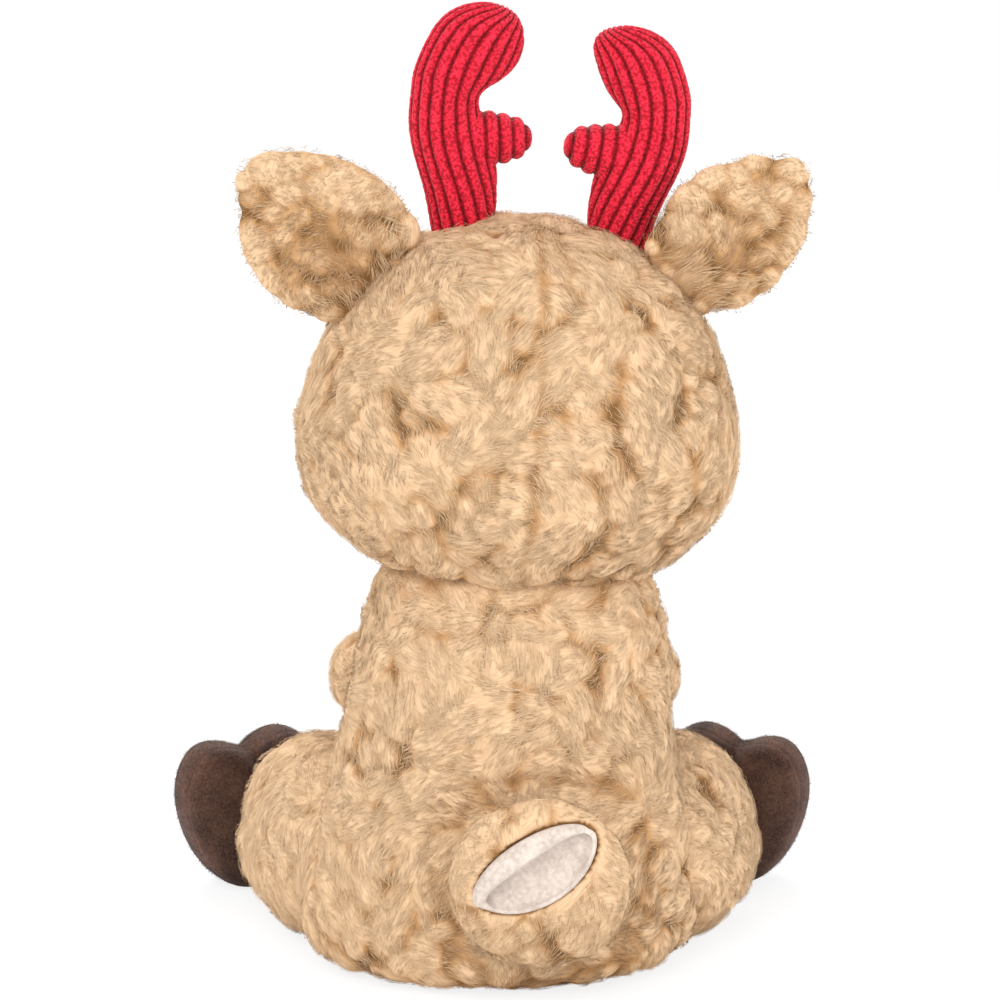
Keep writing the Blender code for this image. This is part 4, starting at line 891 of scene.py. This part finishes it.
def no_hair_in(*tests):
    """A test that keeps only the places outside every form named with a margin."""

    def keep(points):
        return ~np.any([FORMS[name].inside(points, margin) for name, margin in tests], axis=0)

    return keep


def on_both_sides(work):
    """A maker that makes the left piece and then the right one."""

    def make():
        for side, word in SIDES:
            work(side, word)

    return make


def low_down(points):
    """From 0 at 25 mm above the floor to 1 on it, where the pile is shaded and soiled."""
    return np.clip(1 - points[:, 2] / 0.025, 0, 1) ** 1.5


def around_tail(points):
    """1 where the torso's pile meets the tail's edge, fading over a few millimetres."""
    form = FORMS["tail"]
    apart = (points - form.place) / (form.radii + 0.002)
    return np.exp(-((np.hypot(apart[:, 0], apart[:, 2]) - 1) / 0.16) ** 2) * (points[:, 1] > 0)


def make_torso():
    pile, rng = seeded(0)
    full = FORMS["torso"].shrunk(pile.inset)
    # Fuller and shifted low down, as the photograph shows it
    full.rows[:2, 2] -= 0.7 * pile.inset
    full.rows[1:3, 3:] += 5.0 * MILLI
    full.rows[5:8, 0] -= 2.5 * MILLI
    full.rows[5:8, 3] += 1.5 * MILLI
    full.rows[:3, 0] += 2.5 * MILLI
    full.rows[1:5, 3] += 1.8 * MILLI
    base = Form(full.rows, full.turn, full.place)
    tufts = Tufts(base, pile.patch, pile.relief, rng)
    clear = no_hair_in(*((f"{limb}_{word}", -0.004) for limb in ("leg", "arm") for _, word in SIDES))

    def neck(points):
        return 1 - 0.55 * np.clip((points[:, 2] - 0.112) / 0.014, 0, 1)

    # Painted shade along the back seam, towards the floor and round the tail's edge; the constant makes the
    # torso a little paler all over
    def shade(points):
        seam = np.exp(-((points[:, 0] + 0.003) / 0.0018) ** 2) * (points[:, 1] > 0)
        return 0.12 * seam + 0.35 * low_down(points) + 0.30 * around_tail(points) - 0.05

    def shape(place, v):
        return neck(place), -shade(place)

    def keep(points):
        return clear(points) & (points[:, 2] < 0.125)

    undercoat("torso", "body", "torso_skin", base, tufts, rng, 230, 300, fade=neck, shade=shade)
    grow("torso", "body", base, tufts, rng, pile.height, pile.reach, keep, shape=shape, parts=4)


def make_head():
    pile, rng = seeded(1)
    rows = control_rows(HEAD_ROWS, *HEAD, shift=(0, -HEAD_FORWARD, HEAD_BASE))
    rows[4:-1, 3:] -= pile.inset
    rows[4, 3:] *= 0.95
    rows[5:7, 3] *= 1.03
    rows[4:, 2] -= np.linspace(-0.6, 1.0, len(rows) - 4) * pile.inset
    base = Form(rows, HEAD_TURN, NECK)
    tufts = Tufts(base, pile.patch, pile.relief, rng, HEAD_RIM_ROW - 0.4)
    clear = no_hair_in(("muzzle", 0.0005), ("antler_left", -0.001), ("antler_right", -0.001))
    eyes = [eye_frame(side)[0] for side, _ in SIDES]

    def seam(local, width):
        return np.exp(-((local[:, 0] / width) ** 2)) * (local[:, 1] > 0)

    def above(points):
        local = base.local(points)
        return np.clip((local[:, 2] - 0.012) / 0.006, 0, 1) * (1 - 0.5 * seam(local, 0.0022))

    # Shorter pile along the back seam and over the face, with painted shade along the seam
    def shape(place, v):
        local = base.local(place)
        line = seam(local, 0.0018)
        front = np.exp(-((local[:, 0] ** 2 + (local[:, 2] - 0.05) ** 2) / 0.034**2)) * (local[:, 1] < -0.03)
        return (1 - 0.30 * line) * (1 - 0.35 * front), -0.14 * line

    def keep(points):
        apart = [np.linalg.norm(points - centre, axis=1) > EYE[0] + 0.0018 for centre in eyes]
        return clear(points) & np.all(apart, axis=0)

    undercoat("head", "head", "head_skin", base, tufts, rng, 240, 300, fade=above, shade=lambda points: 0.04)
    grow("head", "head", base, tufts, rng, pile.height, pile.reach, keep, shape=shape, low=HEAD_RIM_ROW,
         parts=5)


def make_leg(side, word):
    pile, rng = seeded(2 + side)
    name, hoof = f"leg_{word}", hoof_centre(side)
    form = FORMS[name]
    base = form.shrunk(pile.inset)
    tufts = Tufts(base, pile.patch, pile.relief, rng)

    def calm(points):
        return np.clip((np.linalg.norm(points - hoof, axis=1) - 0.022) / 0.016, 0.2, 1)

    # Painted shade that deepens towards the floor; the constant makes the legs a little paler all over
    def floor_shade(points):
        return 0.35 * low_down(points) - 0.12

    def comb(place):
        return unit(form.turn[:, 2] * (1 - calm(place))[:, None] * 8 - np.array((0, 0, 0.2)))

    def shape(place, v):
        return 0.35 + 0.65 * calm(place), -floor_shade(place)

    keep = no_hair_in(("torso", -0.007))
    undercoat(name, name, f"{name}_skin", base, tufts, rng, 130, 160, fade=calm, shade=floor_shade)
    grow(name, name, base, tufts, rng, pile.height, pile.reach, keep, comb, shape, parts=2, down=0.35)


def make_arm(side, word):
    pile, rng = seeded(6 + side)
    name, cap = f"arm_{word}", f"fore_hoof_{word}"
    form, hoof = FORMS[name], FORMS[cap]
    base = form.shrunk(pile.inset * 0.8)
    tufts = Tufts(base, pile.patch * 0.8, pile.relief * 0.7, rng)

    def comb(place):
        return unit(form.turn[:, 2] + np.array((0, 0, -0.5)))

    def shape(place, v):
        return 1 - 0.4 * np.clip(v - 4.2, 0, 1), 0

    keep = no_hair_in(("torso", -0.006), (cap, -0.0022))
    undercoat(name, name, f"{name}_skin", base, tufts, rng, 56, 64)
    grow(name, name, base, tufts, rng, pile.height, pile.reach * 0.9, keep, comb, shape, down=0.4)
    grid, normal, _, _ = form_grid(hoof, 56, 64)
    local = hoof.local(grid)
    ahead = np.clip(local[..., 2] / FORE_HOOF[0] - 0.35, 0, 1)
    cleft = np.exp(-(local[..., 0] / (1.5 * MILLI)) ** 2) * ahead
    grid = grid - normal * (cleft * 3.6 * MILLI)[..., None]
    ends = hoof.ends()
    ends[1] -= hoof.turn[:, 2] * 2.3 * MILLI
    place_piece(closed_grid(f"{cap}_cover", ends, grid), name, "brown", "brown_pile", cap, fill=0.8)
    nap_hairs(f"{cap}_nap", name, "brown", grid, normal, rng, 3500)


def nap_hairs(name, body, look, grid, normal, rng, count, length=0.9 * MILLI, keep=None, width=0.07 * MILLI):
    """Short single hairs on a surface given as a grid, leaning a little downwards."""
    i, j = rng.integers(0, grid.shape[0] - 1, count), rng.integers(0, grid.shape[1], count)
    after = (j + 1) % grid.shape[1]
    s, t = rng.random((2, count, 1))
    low, high = ((1 - t) * grid[k, j] + t * grid[k, after] for k in (i, i + 1))
    root, out = (1 - s) * low + s * high, normal[i, j]
    if keep is not None:
        kept = keep(root)
        root, out = root[kept], out[kept]
    way = flattened(rng.normal(size=root.shape) * 0.6 + np.array((0, 0, -0.7)), out)
    size = length * rng.uniform(0.6, 1.2, (len(root), 1))
    middle = root + out * size * 0.45 + way * size * 0.3
    tip = root + out * size * 0.75 + way * size * 0.8
    tone = np.clip(rng.normal(0.55, 0.2, len(root)), 0.02, 0.98)
    hairs = strands(name, root - out * 0.1 * MILLI, middle, tip, out, np.full(len(root), width), tone)
    place_piece(hairs, body, f"{look} hair", f"{look}_pile")


def hoof_frame(side):
    leg, _ = side_turns(side)
    place = np.array((side * HOOF_OUTWARD * LEG[1], -HOOF_BEHIND, LEG[0] + HOOF_AHEAD * LEG[1]))
    turn = leg @ turn_about(1, side * HOOF_TURN) @ turn_about(2, -side * HOOF_LEAN)
    return mirrored(HIP, side) + leg @ place, turn


def hoof_centre(side):
    place, turn = hoof_frame(side)
    return place + turn @ np.array((0, HOOF_MIDDLE * HOOF[0], 0))


def periodic_spline(points, at):
    """Closed cubic B-spline through a loop of control points."""
    count = len(points)
    i = np.floor(at * count).astype(int)
    return spline([points[(i + k - 1) % count] for k in range(4)], (at * count - i)[:, None])


def make_hoof(side, word):
    """A cloven hoof: a heart outline, carried through its thickness and drawn in by a root of 1 - |w|^p."""
    _, rng = seeded(10 + side)
    body, name = f"leg_{word}", f"hind_hoof_{word}"
    place, turn = hoof_frame(side)
    height, half_width, thickness = HOOF
    outline = np.array(HOOF_OUTLINE) * (1.01, 0.96)
    loop = periodic_spline(outline * np.array((half_width, height)), np.arange(120) / 120)
    middle = np.array((0, HOOF_MIDDLE * height))
    w = np.sin(np.linspace(-pi / 2, pi / 2, 62)[1:-1])
    size = (1 - np.abs(w) ** 3.2) ** (1 / 2.6)
    flat = middle + (loop[None] - middle) * size[:, None, None]
    local = np.concatenate((flat, np.broadcast_to((w * thickness)[:, None, None], (*flat.shape[:2], 1))), 2)
    ahead = np.clip((local[..., 1] / height - 0.35) / 0.4, 0, 1)
    cleft = np.exp(-(local[..., 0] / (2.6 * MILLI)) ** 2) * ahead
    local[..., 2] *= 1 - 0.24 * cleft
    seam = np.exp(-(((np.abs(w) - 0.30) / 0.05) ** 2))[:, None, None]
    local[..., :2] = middle + (local[..., :2] - middle) * (1 - 0.012 * seam)
    grid = local @ turn.T + place
    ends = np.array(((*middle, -thickness), (*middle, thickness))) @ turn.T + place
    normal = unit(np.cross(np.roll(grid, -1, 1) - np.roll(grid, 1, 1), np.gradient(grid, axis=0)))
    # Painted highlight along the hoof's edge strip, where its rounding would catch the light
    rim_highlight = np.broadcast_to((1 - np.clip((np.abs(w) - 0.3) / 0.5, 0, 1))[:, None], grid.shape[:2])
    cover = closed_grid(f"{name}_cover", settled(ends, 0.001), settled(grid.copy(), 0.001), {"rim_highlight": rim_highlight})
    place_piece(cover, body, "brown", "brown_pile", name, fill=0.8)
    nap_hairs(f"{name}_nap", body, "brown", grid, normal, rng, 9000, keep=no_hair_in((body, -0.004)))


def make_ear(side, word):
    _, rng = seeded(20 + side)
    body = f"ear_{word}"
    form = FORMS[body]
    base = form.shrunk(2.2 * MILLI, 2.4 * MILLI)
    tufts = Tufts(base, 7.5 * MILLI, 2.3 * MILLI, rng, down=0.2)

    def back(points):
        return 0.3 + 0.7 * (form.local(points)[:, 1] > -0.001)

    # Painted shade in the middle of the ear's back, deeper on the left ear; it darkens the matted pile and
    # the hairs
    def dark(points):
        local = form.local(points)
        apart = ((local[:, 0] - side * 0.004) / 0.012) ** 2 + ((local[:, 2] - 0.017) / 0.016) ** 2
        return 0.10 + (0.42 + 0.08 * side) * np.exp(-apart)

    def comb(place):
        return unit(form.turn[:, 2] * 0.8 + form.turn[:, 0] * form.local(place)[:, :1] / 0.012)

    def shape(place, v):
        local = form.local(place)
        inner = (np.abs(local[:, 0]) < 0.0135) & (local[:, 2] > 0.010) & (local[:, 2] < 0.042)
        root = 1 + 0.5 * np.clip(1 - local[:, 2] / 0.020, 0, 1)
        return np.where((local[:, 1] < -1.2 * MILLI) & inner, 0.05, root), -0.8 * dark(place)

    undercoat(body, body, f"{body}_back", base, tufts, rng, 90, 130, 0.5, 0.3 * MILLI, back, dark)
    grow(body, body, base, tufts, rng, 0.9 * MILLI, 4.0 * MILLI, None, comb, shape, spacing=2.1 * MILLI,
         down=0.55)
    hem = 4.2 * MILLI
    length, half = EARS[side]
    rows = control_rows(EAR_ROWS, length - 3 * hem, half - 1.5 * hem, 2.4 * MILLI, (0, -hem, 2 * hem),
                        (-side * half, 0, 0))
    lining = Form(rows, form.turn, form.place)
    grid, normal, _, _ = form_grid(lining, 48, 64)
    cover = closed_grid(f"{body}_lining_cover", lining.ends(), grid)
    place_piece(cover, body, "pale", "pale_pile", f"{body}_lining", fill=0.4)
    nap_hairs(f"{body}_lining_nap", body, "pale", grid, normal, rng, 4500, 1.6 * MILLI, width=0.09 * MILLI)


def ribbed(name, form, rows, count, start=None):
    """A form in corduroy.

    Rib number is the arc length from the angle start, or else the place along the form, over the pitch.
    """
    cloth = bpy.context.scene.deer_cloth
    grid, normal, u, v = form_grid(form, rows, count)
    ring = form.rings(v[:, 0])
    if start is None:
        place = np.broadcast_to(ring[:, 2:3], u.shape)
    else:
        place = ((ring[:, 3] + ring[:, 4]) / 2)[:, None] * ((u - start + pi) % (2 * pi) - pi)
    crest = np.abs(np.cos(pi * place / cloth.rib_pitch)) ** 0.75
    nubs = waves(grid, np.random.default_rng(31), 0.0016, 40)
    grid = grid + normal * (cloth.rib_depth * (crest - 0.75) + 0.16 * MILLI * nubs * crest)[..., None]
    return closed_grid(name, form.ends(), grid, {"rib": crest})


def make_antler(side, word):
    body = f"antler_{word}"
    beam = ribbed(f"{body}_beam", FORMS[body], 190, 208, 0.0 if side > 0 else pi)
    place_piece(beam, body, "cord", "red_corduroy", f"{body}_cover", fill=0.9)
    branch = ribbed(f"{body}_branch", FORMS[f"branch_{word}"], 96, 96)
    place_piece(branch, body, "cord", "red_corduroy", fill=0.9)


def make_tail():
    pile, rng = seeded(30)
    form, cup = FORMS["tail"], FORMS["cup"]
    place = form.place + np.array((0.0015, 0.0005, 0.0035))
    base = Ovoid(form.radii - (0.0045, 0.0040, 0.0060), place=place)
    tufts = Tufts(base, 8.5 * MILLI, 2.2 * MILLI, rng, down=0.2)

    def from_cup(points, margin=0.0):
        """0 in the lining's middle to 1 at its edge, grown by margin, and 9 on the face away from it."""
        local = cup.local(points)
        apart = np.hypot(local[..., 0] / (LINING[0] + margin), local[..., 2] / (LINING[2] + margin))
        return np.where(points[..., 1] > base.place[1], apart, 9.0)

    def beside(points):
        return (from_cup(points, 0.001) > 1) * 1.0

    def press(points):
        """Draws the matted pile in under the lining, to within its thickness."""
        apart = from_cup(points)
        hollow = (0.78 * LINING[1] + 0.6 * MILLI) * np.clip(1 - apart**2, 0, 1) ** 0.4
        sunk = np.minimum(points[..., 1], lining_level(base, points) - hollow)
        points[..., 1] = np.where(apart < 1, sunk, points[..., 1])
        return points

    def comb(place):
        return unit(unit(place - cup.place) + np.array((0, 0.25, -0.1)))

    def keep(points):
        return from_cup(points, 0.0020) > 1

    undercoat("tail", "tail", "tail_fur", base, tufts, rng, 90, 120, 0.6, 0.4 * MILLI, beside, press=press)
    grow("tail", "tail", base, tufts, rng, pile.height * 1.2, pile.reach * 1.1, keep, comb,
         spacing=2.4 * MILLI, down=0.6)
    make_tail_lining(cup, base)


def lining_level(base, points):
    """The height along Y of the lining's edge: a little above the tail's base, whose curve it follows."""
    apart = ((points - base.place) / base.radii)[..., (0, 2)]
    return base.place[1] + base.radii[1] * np.sqrt(np.clip(1 - (apart**2).sum(-1), 0.1, 1)) + 1.2 * MILLI


def make_tail_lining(cup, base):
    """A canoe open towards +Y: inside from its middle to a rolled edge, then round the outside.

    Ring at share r and depth d is (r L cos u, d, r H sin u |sin u|^0.25); the roll is thicker above.
    """
    half_length, deep, half_width = LINING
    u = np.arange(112) * 2 * pi / 112
    upper = np.clip(np.sin(u + 0.35), 0, 1) ** 0.7
    roll = (0.8 + 2.6 * upper) * MILLI
    quarter = np.linspace(0, 1, 22)[1:-1] * pi / 2
    profile = [(sin(a), -0.78 * deep * cos(a) ** 0.8, 0.0, 0.0) for a in quarter]
    profile += [(1.0, 0.0, -cos(a), sin(a)) for a in np.linspace(0.1, 1.0, 9) * pi]
    profile += [(cos(a), -(0.78 * deep + 1.1 * MILLI) * sin(a) ** 0.8, 0.3, 0.0) for a in quarter]
    share, depth, out, up = (np.array(column)[:, None] for column in zip(*profile))
    x = (share * half_length + out * roll) * np.cos(u)
    z = (share * half_width * (1 - 0.30 * upper) + out * roll) * np.sin(u) * np.abs(np.sin(u)) ** 0.25
    face = cup.place * (1, 0, 1)
    ends = np.array(((0, -0.78 * deep, 0), (0, -0.78 * deep - 1.2 * MILLI, 0))) @ cup.turn.T + face
    grid = np.stack((x, depth + up * roll, z), 2) @ cup.turn.T + face
    grid[..., 1] += lining_level(base, grid)
    ends[:, 1] += lining_level(base, ends)
    thing = closed_grid("tail_lining_cup", ends, grid)
    place_piece(thing, "tail", "white", "white_pile", "tail_lining", fill=0.3)


def eye_frame(side):
    """An eye's middle and the way that it looks, on the head's surface."""
    across, rise = EYE_PLACE
    depth = np.sqrt(1 - across**2)
    ahead = HEAD_FORWARD + depth * HEAD[2]
    surface = np.array((side * across * HEAD[1], -ahead, HEAD_BASE + rise * HEAD[0]))
    outward = unit(np.array((side * across / HEAD[1], -depth / HEAD[2], 0)))
    return on_head(surface - outward * EYE[2]), HEAD_TURN @ outward


def make_face():
    _, rng = seeded(40)
    base = FORMS["muzzle"].shrunk(1.2 * MILLI)
    grid, normal, _, _ = form_grid(base, 72, 96)
    local = base.local(grid)
    below = (local[..., 1] < -0.01) & (local[..., 2] < 0.004)
    groove = np.exp(-(local[..., 0] / (1.3 * MILLI)) ** 2) * below
    cheeks = np.exp(-((np.abs(local[..., 0]) - 0.013) / 0.009) ** 2) * (local[..., 1] < 0)
    grid = grid + normal * ((0.8 * cheeks - 0.9 * groove) * MILLI)[..., None]
    cover = closed_grid("muzzle_cover", base.ends(), grid)
    place_piece(cover, "head", "pale", "pale_pile", "muzzle", fill=0.8)

    def ahead(points):
        return base.local(points)[:, 1] < 0.004

    nap_hairs("muzzle_nap", "head", "pale", grid, normal, rng, 9000, 2.0 * MILLI, ahead, 0.10 * MILLI)
    make_nose()
    make_mouth()
    make_eyes()


def make_nose():
    """A rounded triangle: an ellipsoid narrowed below by 1 + k z, with two shallow nostrils."""
    ahead = -MUZZLE_RADII[1] + NOSE_RADII[1] * 0.55
    centre = on_head(np.array(MUZZLE_PLACE) + (0, ahead, MUZZLE_RADII[2] * 0.37))
    ball = Ovoid(NOSE_RADII, HEAD_TURN, centre)
    local = ball.local(form_grid(ball, 48, 64)[0])
    local[..., 0] *= 1 + 0.32 * local[..., 2] / NOSE_RADII[2]
    for side, _ in SIDES:
        apart = np.hypot(local[..., 0] - side * 4.0 * MILLI, local[..., 2] + 0.2 * MILLI)
        local[..., 1] += 0.9 * MILLI * np.exp(-((apart / (1.5 * MILLI)) ** 2)) * (local[..., 1] < 0)
    button = closed_grid("nose_button", ball.ends(), local @ HEAD_TURN.T + centre)
    place_piece(button, "head", "nose", "nose_flock", "nose")


def tube(name, path, radius):
    """A round thread along a path, closed at both ends; each ring lies across the path."""
    way = unit(np.gradient(path, axis=0))
    side = unit(np.cross(way, np.array((0.1, -1.0, 0.2))))
    other = np.cross(way, side)
    angle = np.arange(8) * pi / 4
    ring = np.cos(angle)[None, :, None] * side[:, None] + np.sin(angle)[None, :, None] * other[:, None]
    ends = np.array((path[0] - way[0] * radius * 0.5, path[-1] + way[-1] * radius * 0.5))
    return closed_grid(name, ends, path[:, None] + radius * ring)


def make_mouth():
    """Embroidered mouth: a line below the nose and a curve to each side, laid on the muzzle."""
    muzzle = FORMS["muzzle"]
    t = np.linspace(0, 1, 24)
    curl = -0.0070 - 0.0030 * np.sin(pi * t) + 0.0016 * t
    for word, x, z in (("middle", 0 * t, 0.0015 - 0.0085 * t), ("left", 0.0105 * t, curl),
                       ("right", -0.0105 * t, curl)):
        depth = 1 - (x / muzzle.radii[0]) ** 2 - (z / muzzle.radii[2]) ** 2
        local = np.stack((x, -np.sqrt(depth) * (muzzle.radii[1] + 0.0002), z), 1)
        stitch = tube(f"mouth_stitch_{word}", local @ muzzle.turn.T + muzzle.place, 0.55 * MILLI)
        place_piece(stitch, "head", "mouth", "nose_flock")


def make_eyes():
    for side, word in SIDES:
        centre, outward = eye_frame(side)
        across = unit(np.cross(np.array((0, 0, 1.0)), outward))
        turn = np.stack((across, np.cross(outward, across), outward), 1)
        ball = Ovoid((EYE[0], EYE[0], EYE[1]), turn, centre)
        dome = closed_grid(f"eye_{word}_dome", ball.ends(), form_grid(ball, 48, 64)[0])
        place_piece(dome, "head", "eye", "eye_plastic", f"eye_{word}")


def wear(thing, look):
    thing.data.materials.clear()
    thing.data.materials.append(LOOKS[look])


def make_fillings():
    """Materials for what lies inside: fibre, bean pouch and lock washers, which stay as the solids are."""
    for name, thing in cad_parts.items():
        if name.endswith(("_stuffing", "_filling")):
            wear(thing, "fibre")
        elif "washer" in name:
            wear(thing, "washer")
    wear(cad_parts["bean_pouch"], "pouch")


def aim(name, data, place, target):
    """A lamp or camera at a place, turned towards a target."""
    thing = bpy.data.objects.new(name, data)
    thing.location = place
    thing.rotation_euler = (target - place).to_track_quat("-Z", "Y").to_euler()
    bpy.context.scene.collection.objects.link(thing)
    return thing


def make_stage():
    """Pale floor, soft lamps and the camera behind the toy, a little above it."""
    scene = bpy.context.scene
    material, tree = new_material("pale floor")
    finished(material, {"Roughness": 0.9, "Base Color": (0.97, 0.97, 0.97)})
    seen = node(tree, "ShaderNodeLightPath", (-300, 300)).outputs["Is Camera Ray"]
    share = node(tree, "ShaderNodeMath", (0, 300), {0: seen, 1: 0.80}, operation="MULTIPLY").outputs["Value"]
    glow = node(tree, "ShaderNodeEmission", (-100, -200), {"Strength": 1.04}).outputs["Emission"]
    plain = tree.nodes["Principled BSDF"].outputs["BSDF"]
    either = node(tree, "ShaderNodeMixShader", (300, 100), {"Fac": share, 1: plain, 2: glow})
    feed(tree, tree.nodes["Material Output"].inputs["Surface"], either.outputs["Shader"])
    corners = np.array(((-1, -1, 0), (1, -1, 0), (1, 1, 0), (-1, 1, 0))) * 6.0
    corners[:, 2] = -0.0002
    floor = new_mesh("pale_floor", corners, np.arange(4), np.array((0,)))
    floor.data.materials.append(material)
    scene.world = bpy.data.worlds.new("soft light")
    scene.world.use_nodes = True
    tree = scene.world.node_tree
    back = tree.nodes["Background"]
    feed(tree, back.inputs["Color"], (1, 1, 1))
    feed(tree, back.inputs["Strength"], 1.0)
    light = node(tree, "ShaderNodeBackground", (-100, -150), {"Color": (1, 1, 1), "Strength": 0.88})
    seen = node(tree, "ShaderNodeLightPath", (-400, 200)).outputs["Is Camera Ray"]
    either = node(tree, "ShaderNodeMixShader", (150, 100), {
        "Fac": seen, 1: light.outputs["Background"], 2: back.outputs["Background"]})
    feed(tree, tree.nodes["World Output"].inputs["Surface"], either.outputs["Shader"])
    for name, place, size, power in (
        ("key", (0.5, 1.1, 1.1), 0.9, 12.0), ("fill", (-0.9, 0.7, 0.5), 1.0, 4.5),
        ("front", (0.2, -1.1, 0.9), 0.9, 12.0),
    ):
        lamp = bpy.data.lights.new(name, "AREA")
        lamp.size, lamp.energy = size, power
        aim(name, lamp, Vector(place), Vector((0, 0, 0.13)))
    camera = bpy.data.cameras.new("photo")
    camera.lens, camera.sensor_width = 150, 36
    target, away, rise = Vector((0.0015, 0, 0.1441)), 1.283, radians(12.0)
    scene.camera = aim("photo", camera, target + Vector((0, away * cos(rise), away * sin(rise))), target)
    scene.view_settings.view_transform = "Standard"


def operator(name, label, text, work):
    """An operator class that runs one of the makers above."""

    def execute(self, context):
        work()
        return {"FINISHED"}

    return type(f"DEER_OT_{name}", (bpy.types.Operator,), {
        "bl_idname": f"deer.{name}", "bl_label": label, "__doc__": text, "execute": execute,
        "bl_options": {"REGISTER", "UNDO"},
    })


OPERATORS = (
    operator("looks", "Materials", "Make the cloth and pile materials", make_looks),
    operator("torso", "Torso", "Make the body's cover and pile", make_torso),
    operator("head", "Head", "Make the head's cover and pile", make_head),
    operator("legs", "Legs", "Make the hind legs' covers and pile", on_both_sides(make_leg)),
    operator("arms", "Arms", "Make arms and fore hooves", on_both_sides(make_arm)),
    operator("hooves", "Hooves", "Make the cloven hind hooves", on_both_sides(make_hoof)),
    operator("ears", "Ears", "Make ears and their linings", on_both_sides(make_ear)),
    operator("antlers", "Antlers", "Make the corduroy antlers", on_both_sides(make_antler)),
    operator("tail", "Tail", "Make the tail and its lining", make_tail),
    operator("face", "Face", "Make muzzle, nose, mouth and eyes", make_face),
    operator("fillings", "Fillings", "Make the fillings and the bean pouch", make_fillings),
    operator("stage", "Stage", "Make floor, lamps and camera", make_stage),
)


class DEER_PT_panel(bpy.types.Panel):
    """Lists the steps and the sizes of the toy."""

    bl_idname = "DEER_PT_panel"
    bl_label = "Plush deer"
    bl_space_type = "VIEW_3D"
    bl_region_type = "UI"
    bl_category = "Plush deer"

    def draw(self, context):
        scene = context.scene
        for group in (scene.deer_pile, scene.deer_cloth):
            box = self.layout.box()
            for key in group.__annotations__:
                box.prop(group, key)
        for made in OPERATORS:
            self.layout.operator(made.bl_idname)


CLASSES = (DeerPile, DeerCloth, *OPERATORS, DEER_PT_panel)


def register():
    for made in CLASSES:
        bpy.utils.register_class(made)
    bpy.types.Scene.deer_pile = bpy.props.PointerProperty(type=DeerPile)
    bpy.types.Scene.deer_cloth = bpy.props.PointerProperty(type=DeerCloth)


def unregister():
    del bpy.types.Scene.deer_pile
    del bpy.types.Scene.deer_cloth
    for made in reversed(CLASSES):
        bpy.utils.unregister_class(made)


def main():
    register()
    for made in OPERATORS:
        group, name = made.bl_idname.split(".")
        getattr(getattr(bpy.ops, group), name)()


if __name__ == "__main__":
    main()
